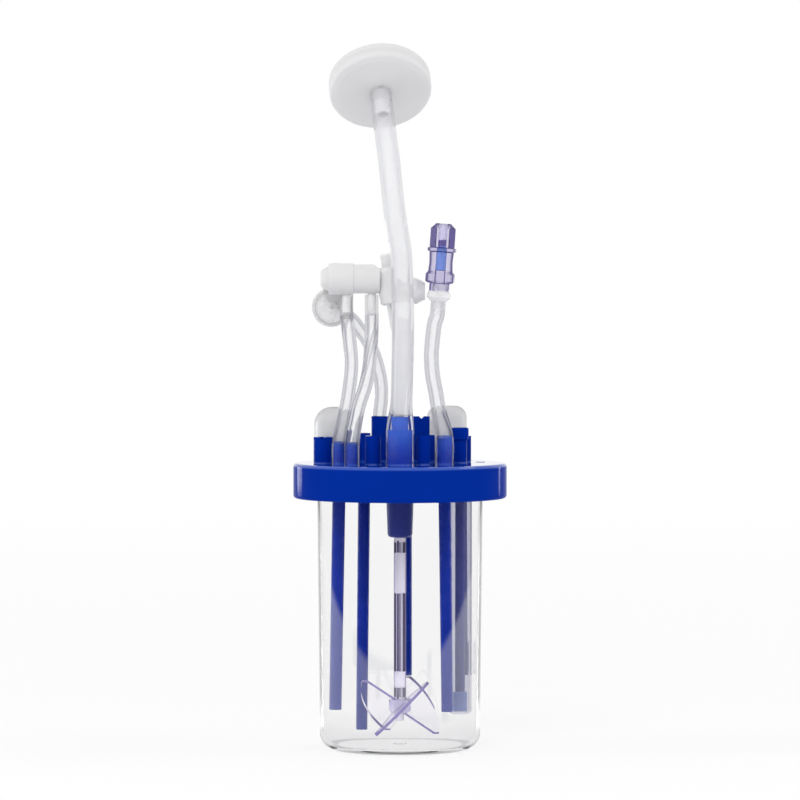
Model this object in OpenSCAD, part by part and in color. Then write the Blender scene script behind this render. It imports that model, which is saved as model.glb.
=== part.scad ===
// Bench bioreactor: a clear cup closed by a round head plate with ports, dip tubes,
// a magnet driven stirrer, hoses, two disc filters and a push-to-open sampling valve.
// Millimetres, Z up. The origin is the middle of the vessel's underside, the front is -Y.

/* [Vessel] */
// Outer diameter of the vessel under the head plate
vessel_top_d = 66.6; // [65:0.1:69]
// Outer diameter of the vessel near its base
vessel_base_d = 64.2; // [63:0.1:66.5]
// Height of the vessel from its underside to its rim
vessel_h = 109.7; // [100:0.1:140]
// Thickness of the vessel's side wall
vessel_wall = 1.5; // [1.2:0.1:1.8]
// Thickness of the vessel's floor
vessel_floor = 1.8; // [1.4:0.1:2.6]
// Outer radius of the rounded corner between wall and floor
vessel_corner = 7; // [5:0.1:9]
// Diameter of the round gate mark in the middle of the vessel's floor
gate_d = 6; // [4:0.5:9]
// Height of the gate mark
gate_h = 0.5; // [0.2:0.1:1]
// Width of the flange near the rim
flange_w = 2.7; // [1.8:0.1:3.2]
// Thickness of the flange
flange_t = 2.4; // [1.6:0.1:3.4]
// Distance from the rim down to the top of the flange
flange_drop = 4; // [2:0.1:5]
// Thickness of the seal between the rim and the head plate
seal_t = 2; // [1.2:0.1:3]

/* [Head plate] */
// Diameter of the head plate
plate_d = 85.5; // [84:0.1:92]
// Height of the plate's outer skirt
skirt_h = 14.1; // [13:0.1:16]
// Thickness of the plate's deck
deck_t = 3.2; // [2.4:0.1:4]
// Thickness of the outer skirt
skirt_wall = 2.2; // [1.6:0.1:2.6]
// Thickness of the collar that grips the vessel's flange
collar_wall = 2; // [1.6:0.1:2.4]
// Radius that rounds the plate's upper and lower outer edges
plate_round = 1.3; // [0.6:0.1:1.8]
// Number of ribs between the collar and the skirt
rib_count = 18; // [8:1:24]
// Thickness of each rib
rib_t = 1.2; // [0.8:0.1:1.8]
// Length of the shallow slot on the deck
deck_slot_l = 6; // [4:0.1:7]
// Width of the shallow slot on the deck
deck_slot_w = 3.6; // [2:0.1:4]
// Depth of the shallow slot on the deck
deck_slot_depth = 1.2; // [0.6:0.1:1.8]

/* [Ports] */
// Outer diameter of the narrow ports under the thin hoses
hose_barb_d = 4.1; // [3.8:0.1:4.8]
// Height of the narrow ports above the deck
hose_barb_h = 8.9; // [7:0.1:12]
// Outer diameter of the low open ports
low_port_d = 5.6; // [5:0.1:6]
// Height of the low open ports above the deck
low_port_h = 11.4; // [9:0.1:13]
// Outer diameter of the tall rear ports
tall_port_d = 6.7; // [6.2:0.1:6.9]
// Height of the tall rear ports above the deck
tall_port_h = 18; // [15:0.1:21]
// Bore through the open ports
port_bore_d = 3.4; // [2.4:0.1:3.8]
// Outer diameter of the blind socket at the left edge
park_socket_d = 7.8; // [7.4:0.1:8.4]
// Bore of the blind socket
park_bore_d = 5.8; // [5:0.1:6.2]
// Height of the blind socket above the deck
park_socket_h = 10.4; // [8:0.1:12]
// Diameter of the exhaust port at the deck
exhaust_port_d = 9.4; // [8.4:0.1:10]
// Height of the wide part of the exhaust port above the deck
exhaust_port_h = 13.8; // [11:0.1:16]
// Diameter of the exhaust port's neck
exhaust_neck_d = 5.8; // [5.4:0.1:6.2]
// Length of the exhaust port's neck
exhaust_neck_l = 5.2; // [4:0.1:7]
// Diameter of the exhaust port's bore
exhaust_bore_d = 3.6; // [3:0.1:4]
// Outer diameter of the port under each domed cap
capped_port_d = 10; // [9:0.1:10.6]
// Bore of the port under each domed cap
capped_port_bore_d = 6; // [5:0.1:6.2]

/* [Port caps] */
// Outer diameter of the two domed rear caps
dome_cap_d = 16; // [15:0.1:16.2]
// Height of the domed caps above the deck
dome_cap_h = 22; // [18:0.1:26]
// Wall of the domed caps
dome_cap_wall = 1.2; // [0.8:0.1:1.5]
// Rounding of the left cap's top edge
left_cap_round = 7; // [3:0.1:7.3]
// Rounding of the right cap's top edge
right_cap_round = 4.6; // [3:0.1:7.3]
// Outer diameter of the small cap over the sensor port
sensor_cap_d = 6.9; // [6.4:0.1:7.2]
// Height of the small cap over the sensor port
sensor_cap_h = 4.9; // [4:0.1:6]

/* [Drive] */
// Diameter of the socket that takes the stirrer drive's magnet nose
drive_socket_d = 14; // [13:0.1:14.4]
// Depth of the drive socket
drive_socket_depth = 6; // [4.5:0.1:6.4]
// Thickness of the floor between the drive socket and the rotor chamber
socket_floor = 1.2; // [1:0.1:1.6]
// Wall around the drive socket and the rotor chamber
socket_wall = 1.6; // [1.2:0.1:1.8]
// Height of the rotor chamber
chamber_h = 5.5; // [5:0.1:6]
// Diameter of the magnet carrier
carrier_d = 12.6; // [11:0.1:12.8]
// Thickness of the magnet carrier
carrier_t = 3.2; // [2.8:0.1:3.4]
// Number of magnets in the carrier
magnet_count = 6; // [4:1:6]
// Diameter of each magnet
magnet_d = 2.8; // [2:0.1:3]
// Thickness of each magnet
magnet_t = 2; // [1.2:0.1:2.2]
// Length of the bearing hub below its flange
hub_l = 15.8; // [12:0.1:20]
// Outer diameter of the bearing hub at its top
hub_top_d = 11; // [10:0.1:12]
// Outer diameter of the bearing hub at its foot
hub_foot_d = 10; // [9:0.1:10.8]
// Thickness of the bearing hub's flange
hub_flange_t = 1.4; // [1:0.1:1.8]
// Outer diameter of both bearing bushes
bush_d = 6.4; // [6:0.1:6.8]
// Length of each bearing bush
bush_l = 4.5; // [3.5:0.1:5.5]
// Radial running clearance between the shaft and its bushes
bearing_gap = 0.05; // [0.03:0.01:0.08]

/* [Shaft and impeller] */
// Diameter of the shaft's journal in the bushes
journal_d = 3.8; // [3.4:0.1:4]
// Width across the fins of the shaft
shaft_w = 4.8; // [4.4:0.1:5.2]
// Thickness of each fin of the shaft
fin_t = 1.1; // [0.9:0.1:1.4]
// Height of the impeller's middle above the vessel's underside
impeller_z = 17.2; // [14:0.1:17.5]
// Radius swept by the blades
blade_sweep_r = 15.7; // [14.5:0.1:17]
// Thickness of the blades
blade_t = 1.1; // [0.9:0.1:1.6]
// Pitch of the blades
blade_pitch = 45; // [35:1:45]
// Half of the blade's width at its tip
blade_tip_half_w = 14.8; // [11:0.1:15]
// Half of the blade's width at the hub
blade_root_half_w = 3.2; // [2.4:0.1:4]
// Turn of the first blade from +X about the shaft
blade_turn = -86; // [-120:1:0]
// Number of blades
blade_count = 3; // [2:1:3]
// Diameter of the impeller's hub
impeller_hub_d = 8.6; // [8.4:0.1:10]
// Height of the impeller's hub
impeller_hub_h = 5.6; // [5:0.1:7]

/* [Dip tubes] */
// Outer diameter of the harvest tube
harvest_tube_d = 5.2; // [4.6:0.1:5.6]
// Height of the harvest tube's tip above the vessel's underside
harvest_tip_z = 16.8; // [10:0.1:30]
// Outer diameter of the long dip tube
long_tube_d = 5; // [4.6:0.1:5.4]
// Height of the long dip tube's tip above the vessel's underside
long_tip_z = 6.7; // [5:0.1:15]
// Outer diameter of the feed tube
feed_tube_d = 4.8; // [4.2:0.1:5]
// Height of the feed tube's tip above the vessel's underside
feed_tip_z = 28.6; // [28.5:0.1:45]
// Outer diameter of the sampling tube
sampling_tube_d = 5; // [4.6:0.1:5.4]
// Height of the sampling tube's tip above the vessel's underside
sampling_tip_z = 16.2; // [10:0.1:30]
// How much narrower the open dip tubes are at their tips
tube_taper = 0.4; // [0:0.1:0.6]
// Outer diameter of the thermowell
thermowell_d = 4.2; // [4:0.1:4.8]
// Outer diameter of the thermowell's closed tip
well_tip_d = 6.2; // [5.4:0.1:6.6]
// Length of the thermowell's closed tip
well_tip_l = 13.5; // [8:0.5:20]
// Height of the thermowell's tip above the vessel's underside
thermowell_tip_z = 29.2; // [18:0.1:45]
// Bore of the dip tubes and the thermowell
dip_bore_d = 2.6; // [1.8:0.1:3]
// Outward lean of the long and the sampling tube
tube_lean = 0.8; // [0:0.1:1]
// Outward lean of the harvest tube
harvest_lean = 1; // [0:0.1:1.2]
// Sideways lean of the thermowell
well_lean = 0.4; // [0:0.1:0.5]
// Wall of the bosses that hold the dip tubes under the deck
boss_wall = 1.3; // [1:0.1:1.5]
// Length of each dip tube that sits in its boss
spigot_l = 6; // [4:0.1:7]

/* [Sensor] */
// Outer diameter of the clear sensor sleeve
sleeve_d = 9.4; // [8.8:0.1:9.8]
// Wall of the clear sensor sleeve
sleeve_wall = 0.8; // [0.6:0.1:1.1]
// Height of the sleeve's closed end above the vessel's underside
sleeve_tip_z = 14.2; // [10:0.1:25]
// Diameter of the sensor's core
core_d = 4; // [3.4:0.1:4.2]
// Diameter of the sensor's tip
sensor_tip_d = 5.7; // [5:0.1:6.6]
// Length of the sensor's tip
sensor_tip_l = 7.6; // [5:0.1:10]

/* [Hoses] */
// Outer diameter of the exhaust hose
exhaust_hose_d = 8.8; // [8.2:0.1:9.4]
// Inner diameter of the exhaust hose
exhaust_hose_bore_d = 6; // [5.6:0.1:6.2]
// Outer diameter of the thin hoses
hose_d = 5.5; // [5:0.1:5.8]
// Inner diameter of the thin hoses
hose_bore_d = 3.2; // [2.6:0.1:3.4]
// Outer diameter of the sampling hose
sampling_hose_d = 6; // [5.6:0.1:6.4]
// Wall of a hose where it is stretched over a port
stretched_wall = 0.8; // [0.6:0.1:0.9]

/* [Exhaust filter] */
// Diameter of the exhaust filter
filter_d = 41; // [38:0.1:42]
// Thickness of the exhaust filter
filter_t = 8.6; // [7:0.1:10]
// Height of the filter's lower face above the deck
filter_rise = 147.8; // [135:0.1:152]
// Backward tilt of the filter's axis from upright
filter_tilt = 45; // [38:1:50]
// Sideways lean of the filter and the top of its hose
filter_lean = 6; // [0:1:8]
// Length of the filter's barb
filter_barb_l = 13; // [10:0.1:15]

/* [Inlet filter] */
// Diameter of the small disc filter
disc_d = 15.6; // [14:0.1:16]
// Thickness of the small disc filter
disc_t = 4.4; // [3.6:0.1:5]

/* [Manifold] */
// Outer diameter of the manifold's barrel
barrel_d = 12.6; // [11.6:0.1:12.8]
// Length of the manifold's barrel
barrel_l = 20.6; // [20:0.1:22]
// Height of the barrel's axis above the deck
barrel_rise = 73.6; // [66:0.1:80]
// Outer diameter of the tee
tee_d = 10; // [9:0.1:10.4]
// Lean of the tee
tee_lean = 10; // [0:1:12]

/* [Sampling valve] */
// Height of the valve's seat above the deck
valve_rise = 68.9; // [62:0.1:76]
// Lean of the valve
valve_lean = 4; // [0:0.5:6]
// Diameter of the valve's body
valve_body_d = 9.8; // [9.2:0.1:10.4]
// Width of the valve's cap across its corners
valve_cap_w = 9.9; // [9.6:0.1:11]
// Diameter of the piston
piston_d = 4; // [3.6:0.1:4.2]
// Travel of the piston
piston_travel = 4; // [3:0.1:4.5]
// Radial clearance around the piston
piston_gap = 0.08; // [0.04:0.01:0.1]

/* [Hidden] */
$fn = 64;

eps = 0.01;
blue = [0.04, 0.14, 0.62];
clear = [0.9, 0.92, 0.95, 0.35];
violet = [0.72, 0.68, 0.92, 0.5];
natural = [0.88, 0.88, 0.88, 0.8];

// Levels, from the vessel upwards
deck_under_z = vessel_h + seal_t;
deck_z = deck_under_z + deck_t;
skirt_z = deck_z - skirt_h;
socket_r = drive_socket_d / 2;
socket_outer_r = socket_r + socket_wall;
chamber_r = socket_r + 0.2;
chamber_top_z = deck_z - drive_socket_depth - socket_floor;
chamber_z = chamber_top_z - chamber_h;
hub_flange_z = chamber_z - hub_flange_t;
hub_foot_z = hub_flange_z - hub_l;

// Radii of the vessel
vessel_top_r = vessel_top_d / 2;
vessel_base_r = vessel_base_d / 2;
vessel_inner_r = vessel_base_r - vessel_wall;
rim_inner_r = vessel_top_r - vessel_wall;
flange_r = vessel_top_r + flange_w;
plate_r = plate_d / 2;

// Pitch radii on which the ports stand
ring_step = 5.8;
near_ring = socket_outer_r + hose_barb_d / 2 + stretched_wall + 1.75;
mid_ring = near_ring + ring_step;
tube_ring = vessel_inner_r - harvest_tube_d / 2 - 2.1;
sleeve_ring = vessel_inner_r - sleeve_d / 2 - 1.85;
well_ring = vessel_inner_r - well_tip_d / 2 - 0.65;
cap_ring = rim_inner_r - capped_port_bore_d / 2 - 0.2;
park_ring = plate_r - skirt_wall - park_socket_d / 2 - 5.8;

// Place on a pitch ring, turned from +X about the middle
function on_ring(r, turn) = [r * cos(turn), r * sin(turn)];
harvest_turn = 200.4;
long_turn = 138;
feed_turn = 79.5;
sampling_turn = 325.7;
harvest_at = on_ring(tube_ring, harvest_turn);
overlay_at = on_ring(tube_ring, 223);
long_at = on_ring(mid_ring + 0.5, long_turn);
inlet_at = on_ring(mid_ring, 115.6);
exhaust_at = on_ring(mid_ring, 270);
spare_left_at = on_ring(mid_ring, 235.5);
spare_right_at = on_ring(mid_ring, 299.4);
spare_inner_at = on_ring(near_ring + 0.3, 34.1);
tall_open_at = on_ring(mid_ring + 0.4, 63.6);
feed_at = on_ring(near_ring, feed_turn);
sampling_at = on_ring(mid_ring + 2.5, sampling_turn);
sensor_at = on_ring(sleeve_ring, 1.2);
thermowell_at = on_ring(well_ring, 19.6);
left_cap_at = on_ring(cap_ring, 157.4);
right_cap_at = on_ring(cap_ring + 0.8, 49.8);
park_at = on_ring(park_ring, 186.5);
deck_slot_at = [rim_inner_r + 0.4, 5];

// Where the hoses and the pieces above the ports meet
barrel_z = deck_z + barrel_rise;
barrel_y = -6.8;
barrel_right_x = -7.8;
barrel_left_x = barrel_right_x - barrel_l;
harvest_barb_x = barrel_left_x + 7;
overlay_barb_x = barrel_right_x - 3.5;
barb_l = 7;
barb_r = hose_bore_d / 2;
tee_foot = [-2.6, barrel_y, barrel_z - 10];
tee_h = 15;
filter_dir = [-sin(filter_lean) * cos(filter_tilt), sin(filter_tilt),
    cos(filter_lean) * cos(filter_tilt)];
filter_at = [-7.7, 6.55, deck_z + filter_rise];
disc_at = [barrel_left_x + 1, barrel_y + barrel_d / 2 + 0.3 + disc_t / 2, barrel_z - barrel_d / 2 - 5.1];
valve_at = [15.5, sampling_at[1], deck_z + valve_rise];
valve_dir = [sin(valve_lean), 0, cos(valve_lean)];
fitting_barb_l = 5.5;
fitting_h = 4;

// Points of a quarter circle, or any arc, in a profile
function arc(c, r, from, to, steps = 8) =
    [for (i = [0:steps]) c + r * [cos(from + (to - from) * i / steps), sin(from + (to - from) * i / steps)]];

// Turns +Z into the direction v
module point_along(v) {
    rotate([0, acos(v[2] / norm(v)), atan2(v[1], v[0])]) children();
}

module at_port(place, z = 0) {
    translate([place[0], place[1], z]) children();
}

// A solid of revolution from a profile of [radius, height] points
module turned(profile) {
    rotate_extrude($fn = 96) polygon(profile);
}

// A straight pipe
module pipe(h, r_out, r_in) {
    difference() {
        cylinder(h = h, r = r_out);
        translate([0, 0, -eps]) cylinder(h = h + 2 * eps, r = r_in);
    }
}

// ---- Hoses: each is one sweep along a smooth curve through its control points.
// A control point is [x, y, z, outer radius, inner radius].
function xyz(p) = [p[0], p[1], p[2]];
function spline(a, b, c, d, t) = 0.5 * (2 * b + (c - a) * t + (2 * a - 5 * b + 4 * c - d) * t * t
    + (3 * b - a - 3 * c + d) * t * t * t);
function curve(p, steps) = let (last = len(p) - 1) concat(
    [for (i = [0:last - 1], k = [0:steps - 1])
        let (t = k / steps,
            q = spline(xyz(p[max(i - 1, 0)]), xyz(p[i]), xyz(p[i + 1]), xyz(p[min(i + 2, last)]), t))
        [q[0], q[1], q[2], p[i][3] * (1 - t) + p[i + 1][3] * t, p[i][4] * (1 - t) + p[i + 1][4] * t]],
    [p[last]]);
function heading(q, i) = let (v = xyz(q[min(i + 1, len(q) - 1)]) - xyz(q[max(i - 1, 0)])) v / norm(v);
function ring(q, i, sides, r) =
    let (t = heading(q, i), u = cross(t, [1, 0, 0]), a = u / norm(u), b = cross(t, a))
    [for (s = [0:sides - 1]) xyz(q[i]) + r * (a * cos(360 * s / sides) + b * sin(360 * s / sides))];

// The flats of the bore, not its corners, lie on the bore's radius, so what is pushed in fits.
module swept_hose(control, steps = 3, sides = 12) {
    q = curve(control, steps);
    rings = len(q);
    outer = [for (i = [0:rings - 1]) each ring(q, i, sides, q[i][3])];
    inner = [for (i = [0:rings - 1]) each ring(q, i, sides, q[i][4] / cos(180 / sides))];
    half = rings * sides;
    walls = [for (i = [0:rings - 2], s = [0:sides - 1]) let (n = (s + 1) % sides)
        each [[i * sides + s, i * sides + n, (i + 1) * sides + n, (i + 1) * sides + s],
            [half + i * sides + n, half + i * sides + s, half + (i + 1) * sides + s, half + (i + 1) * sides + n]]];
    top = (rings - 1) * sides;
    ends = [for (s = [0:sides - 1]) let (n = (s + 1) % sides)
        each [[n, s, half + s, half + n], [top + s, top + n, half + top + n, half + top + s]]];
    polyhedron(concat(outer, inner), concat(walls, ends), convexity = 6);
}

// Control points between two ends: the ends run straight for their stretched length, and each
// entry of bows is [share of the way, sideways x, sideways y], the last two as shares of the
// straight line's length away from that line.
function hose_run(start, end, port_r, port_h, end_dir, end_l, r_out, r_in, bows) =
    let (out = port_r + stretched_wall, a = xyz(start), b = xyz(end)) concat(
    [[a[0], a[1], a[2], out, port_r], [a[0], a[1], a[2] + port_h, out, port_r]],
    [for (w = bows) let (p = a + (b - a) * w[0] + norm(b - a) * [w[1], w[2], 0])
        [p[0], p[1], p[2], r_out, r_in]],
    [let (p = b - end_dir * end_l) [p[0], p[1], p[2], r_out, r_in]],
    [[b[0], b[1], b[2], r_out, r_in]]);

// ---- Vessel
// Outer radius of the vessel at a height
function wall_r(z) = vessel_base_r
    + (vessel_top_r - vessel_base_r) * (z - vessel_corner) / (vessel_h - vessel_corner);

module vessel() {
    inner_corner = vessel_corner - vessel_wall;
    flange_top = vessel_h - flange_drop;
    color(clear) turned(concat(
        [[0, 0]],
        arc([vessel_base_r - vessel_corner, vessel_corner], vessel_corner, -90, 0),
        [[wall_r(flange_top - flange_t), flange_top - flange_t], [flange_r, flange_top - flange_t],
            [flange_r, flange_top], [wall_r(flange_top), flange_top], [vessel_top_r, vessel_h],
            [rim_inner_r, vessel_h]],
        arc([vessel_base_r - vessel_wall - inner_corner, vessel_floor + inner_corner], inner_corner, 0, -90),
        [[gate_d / 2, vessel_floor], [gate_d / 2 - 0.3, vessel_floor + gate_h], [0, vessel_floor + gate_h]]));
}

module vessel_seal() {
    color("gainsboro") translate([0, 0, vessel_h]) pipe(seal_t, vessel_top_r, rim_inner_r);
}

// ---- Head plate
// A boss under the deck with the socket of a dip tube in its foot
module boss(place, tube_r) {
    at_port(place, skirt_z + 0.4) cylinder(h = deck_under_z - skirt_z, r = tube_r + boss_wall);
}

module spigot_socket(place, tube_r, turn = 0, lean = 0) {
    on_tube_axis(place, turn, lean) translate([0, 0, -1]) cylinder(h = spigot_l + 1, r = tube_r);
}

module port_stub(place, h, r) {
    at_port(place, deck_z - 1) cylinder(h = h + 1, r = r);
}

module through_bore(place, r) {
    at_port(place, skirt_z) cylinder(h = skirt_h + tall_port_h + 10, r = r);
}

sensor_stub_h = low_port_h + 0.9;
module head_plate() {
    collar_r = flange_r + collar_wall;
    bore_r = port_bore_d / 2;
    barb_port_r = hose_barb_d / 2;
    low_r = low_port_d / 2;
    tall_r = tall_port_d / 2;
    color(blue) difference() {
        union() {
            // deck and outer skirt
            turned(concat(
                [[0, deck_under_z], [plate_r - skirt_wall, deck_under_z], [plate_r - skirt_wall, skirt_z]],
                arc([plate_r - plate_round, skirt_z + plate_round], plate_round, -90, 0, 4),
                arc([plate_r - plate_round, deck_z - plate_round], plate_round, 0, 90, 4),
                [[0, deck_z]]));
            // collar around the vessel's flange
            translate([0, 0, vessel_h - flange_drop - flange_t - 1])
                pipe(deck_under_z + 1 - (vessel_h - flange_drop - flange_t - 1), collar_r, flange_r);
            for (i = [0:rib_count - 1]) rotate(360 * (i + 0.5) / rib_count)
                translate([collar_r - 0.5, -rib_t / 2, skirt_z + 2.5])
                    cube([plate_r - skirt_wall - collar_r + 1, rib_t, deck_under_z - skirt_z - 2]);
            // wall of the drive socket and the rotor chamber
            translate([0, 0, chamber_z]) cylinder(h = deck_z - chamber_z - 0.5, r = socket_outer_r);
            boss(harvest_at, harvest_tube_d / 2);
            boss(long_at, long_tube_d / 2);
            boss(feed_at, feed_tube_d / 2);
            boss(sampling_at, sampling_tube_d / 2);
            boss(thermowell_at, thermowell_d / 2 + 0.5);
            boss(sensor_at, sleeve_d / 2);
            port_stub(harvest_at, hose_barb_h, barb_port_r);
            port_stub(overlay_at, hose_barb_h, barb_port_r);
            port_stub(feed_at, hose_barb_h, barb_port_r);
            port_stub(spare_left_at, low_port_h, low_r + 0.3);
            port_stub(spare_right_at, low_port_h, low_r - 0.2);
            port_stub(spare_inner_at, low_port_h - 0.6, low_r);
            port_stub(long_at, low_port_h, low_r - 0.2);
            port_stub(thermowell_at, low_port_h - 1, low_r + 0.5);
            port_stub(sampling_at, low_port_h, low_r);
            port_stub(sensor_at, sensor_stub_h, low_r);
            port_stub(inlet_at, tall_port_h, tall_r);
            port_stub(tall_open_at, tall_port_h, tall_r);
            port_stub(park_at, park_socket_h, park_socket_d / 2);
            port_stub(left_cap_at, dome_cap_h - 12, capped_port_d / 2);
            port_stub(right_cap_at, dome_cap_h - 12, capped_port_d / 2);
            port_stub(exhaust_at, exhaust_port_h, exhaust_port_d / 2);
            port_stub(exhaust_at, exhaust_port_h + exhaust_neck_l, exhaust_neck_d / 2);
        }
        // drive socket from above, rotor chamber from below
        translate([0, 0, deck_z - drive_socket_depth]) cylinder(h = drive_socket_depth + 1, r = socket_r);
        translate([0, 0, chamber_z - eps]) cylinder(h = chamber_h + eps, r = chamber_r);
        for (p = [harvest_at, overlay_at, feed_at]) through_bore(p, dip_bore_d / 2);
        for (p = [spare_left_at, spare_right_at, spare_inner_at, long_at, thermowell_at, sampling_at,
                tall_open_at])
            through_bore(p, bore_r);
        through_bore(inlet_at, bore_r);
        at_port(inlet_at, deck_z + tall_port_h - inlet_insert) cylinder(h = inlet_insert + 1, r = hose_d / 2);
        through_bore(sensor_at, core_d / 2);
        through_bore(exhaust_at, exhaust_bore_d / 2);
        through_bore(left_cap_at, capped_port_bore_d / 2);
        through_bore(right_cap_at, capped_port_bore_d / 2);
        at_port(park_at, deck_z - 1.5) cylinder(h = park_socket_h + 3, r = park_bore_d / 2);
        // notches in the rim of the blind socket, and the V in the tall open port
        for (turn = [20, 80, 140]) at_port(park_at, deck_z + park_socket_h - 0.9) rotate(turn)
            translate([-park_socket_d, -0.6, 0]) cube([2 * park_socket_d, 1.2, 2]);
        at_port(tall_open_at, deck_z + tall_port_h) rotate([0, 45, 0])
            cube([1.5, tall_port_d + 2, 1.5], center = true);
        spigot_socket(harvest_at, harvest_tube_d / 2, harvest_turn, harvest_lean);
        spigot_socket(long_at, long_tube_d / 2, long_turn, tube_lean);
        spigot_socket(feed_at, feed_tube_d / 2);
        spigot_socket(sampling_at, sampling_tube_d / 2, sampling_turn, tube_lean);
        spigot_socket(thermowell_at, thermowell_d / 2, 0, well_lean);
        spigot_socket(sensor_at, sleeve_d / 2);
        translate([deck_slot_at[0] - deck_slot_w / 2, deck_slot_at[1] - deck_slot_l / 2,
            deck_z - deck_slot_depth]) cube([deck_slot_w, deck_slot_l, deck_slot_depth + 1]);
    }
}

// ---- Port caps
module dome_cap(place, top_round) {
    r = dome_cap_d / 2;
    grip_r = capped_port_d / 2;
    inner_round = top_round - dome_cap_wall;
    color(natural) at_port(place, deck_z) turned(concat(
        [[grip_r, 0]],
        [[r, 0]],
        arc([r - top_round, dome_cap_h - top_round], top_round, 0, 90),
        [[0, dome_cap_h], [0, dome_cap_h - dome_cap_wall]],
        arc([r - top_round, dome_cap_h - top_round], inner_round, 90, 0),
        [[r - dome_cap_wall, dome_cap_wall], [grip_r + dome_cap_wall, dome_cap_wall],
            [grip_r + dome_cap_wall, dome_cap_h - 13], [grip_r, dome_cap_h - 13]]));
}

module left_port_cap() dome_cap(left_cap_at, left_cap_round);
module right_port_cap() dome_cap(right_cap_at, right_cap_round);

module sensor_port_cap() {
    r = sensor_cap_d / 2;
    stub_r = low_port_d / 2;
    skirt = sensor_cap_h - 1.8;
    color(blue) at_port(sensor_at, deck_z + sensor_stub_h - skirt) turned([[stub_r, 0], [r - 0.2, 0],
        [r, 0.3], [r, sensor_cap_h - 0.5], [r - 0.5, sensor_cap_h], [0, sensor_cap_h], [0, skirt],
        [stub_r, skirt]]);
}

// ---- Drive
bush_r = bush_d / 2;
journal_r = journal_d / 2;
upper_bush_top = chamber_z + 1.2;
hub_round = 1.6;
module bearing_hub() {
    top_r = hub_top_d / 2;
    foot_r = hub_foot_d / 2;
    color([0.05, 0.09, 0.42]) translate([0, 0, hub_foot_z]) turned(concat(
        [[bush_r, 0]],
        arc([foot_r - hub_round, hub_round], hub_round, -90, 0, 4),
        [[top_r, hub_l], [socket_outer_r, hub_l], [socket_outer_r, hub_l + hub_flange_t],
            [chamber_r, hub_l + hub_flange_t], [chamber_r, hub_l + hub_flange_t + 0.8],
            [bush_r, hub_l + hub_flange_t + 0.8]]));
}

module bush(z) {
    color("whitesmoke") translate([0, 0, z]) pipe(bush_l, bush_r, journal_r + bearing_gap);
}

module upper_bearing() bush(upper_bush_top - bush_l);
module lower_bearing() bush(hub_foot_z);

carrier_z = upper_bush_top + 0.3;
magnet_ring = carrier_d / 2 - magnet_d / 2 - 0.6;
module at_magnets() {
    for (i = [0:magnet_count - 1]) rotate(360 * i / magnet_count)
        translate([magnet_ring, 0, carrier_z + carrier_t - magnet_t]) children();
}

module magnet_carrier() {
    color("dimgray") difference() {
        translate([0, 0, carrier_z]) cylinder(h = carrier_t, r = carrier_d / 2);
        translate([0, 0, carrier_z - eps]) cylinder(h = carrier_t + 1, r = journal_r);
        at_magnets() cylinder(h = magnet_t + 1, r = magnet_d / 2);
    }
}

module coupling_magnets() {
    color("silver") at_magnets() cylinder(h = magnet_t, r = magnet_d / 2);
}

// ---- Shaft and impeller
shaft_foot_r = 1.55;
shaft_tip_l = 2.9;
fins_top = hub_foot_z - 0.3;
fins_z = impeller_z + impeller_hub_h / 2;
module shaft() {
    rounds = [[0.075, 0.175], [0.66, 0.91]];
    fins_l = fins_top - fins_z;
    color(violet) {
        translate([0, 0, fins_top - 1]) cylinder(h = carrier_z + carrier_t - fins_top + 1, r = journal_r);
        translate([0, 0, fins_top - 1.6]) cylinder(h = 1.6, r = shaft_w / 2);
        for (turn = [0, 90]) rotate(turn - 20)
            translate([-shaft_w / 2, -fin_t / 2, fins_z]) cube([shaft_w, fin_t, fins_l - 0.8]);
        // round stretches that stiffen the fins
        for (p = rounds) translate([0, 0, fins_z + fins_l * p[0]])
            cylinder(h = fins_l * (p[1] - p[0]), r = norm([shaft_w, fin_t]) / 2 + 0.02);
        translate([0, 0, fins_z]) cylinder(h = 1, r = shaft_w / 2);
        // foot through the impeller's hub, with a chamfered tip
        translate([0, 0, fins_z - impeller_hub_h - shaft_tip_l]) turned([[0, 0], [shaft_foot_r - 0.4, 0],
            [shaft_foot_r, 0.6], [shaft_foot_r, impeller_hub_h + shaft_tip_l + 0.5],
            [0, impeller_hub_h + shaft_tip_l + 0.5]]);
    }
}

module blade() {
    reach = blade_sweep_r + 4;
    spread = blade_root_half_w + (blade_tip_half_w - blade_root_half_w) * reach / (blade_sweep_r * 0.6);
    intersection() {
        translate([0, 0, -blade_sweep_r]) cylinder(h = 2 * blade_sweep_r, r = blade_sweep_r, $fn = 96);
        rotate([blade_pitch, 0, 0]) translate([0, 0, -blade_t / 2]) linear_extrude(blade_t)
            intersection() {
                polygon([[0, -blade_root_half_w], [reach, -spread], [reach, spread], [0, blade_root_half_w]]);
                translate([0, -blade_tip_half_w]) square([reach, 2 * blade_tip_half_w]);
            }
    }
}

module impeller() {
    hub_r = impeller_hub_d / 2;
    color(violet) translate([0, 0, impeller_z]) difference() {
        union() {
            translate([0, 0, -impeller_hub_h / 2]) turned(concat([[0, 0]],
                arc([hub_r - 2, 2], 2, -90, 0, 6), [[hub_r, impeller_hub_h], [0, impeller_hub_h]]));
            for (i = [0:blade_count - 1]) rotate(blade_turn + 360 * i / blade_count) blade();
        }
        translate([0, 0, -blade_sweep_r]) cylinder(h = 2 * blade_sweep_r, r = shaft_foot_r);
    }
}

// ---- Dip tubes: each is one straight tube, its upper end in the boss's socket
joint_z = skirt_z + 0.4;
module on_tube_axis(place, turn, lean) {
    at_port(place, joint_z) rotate([0, -lean, turn]) children();
}

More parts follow.
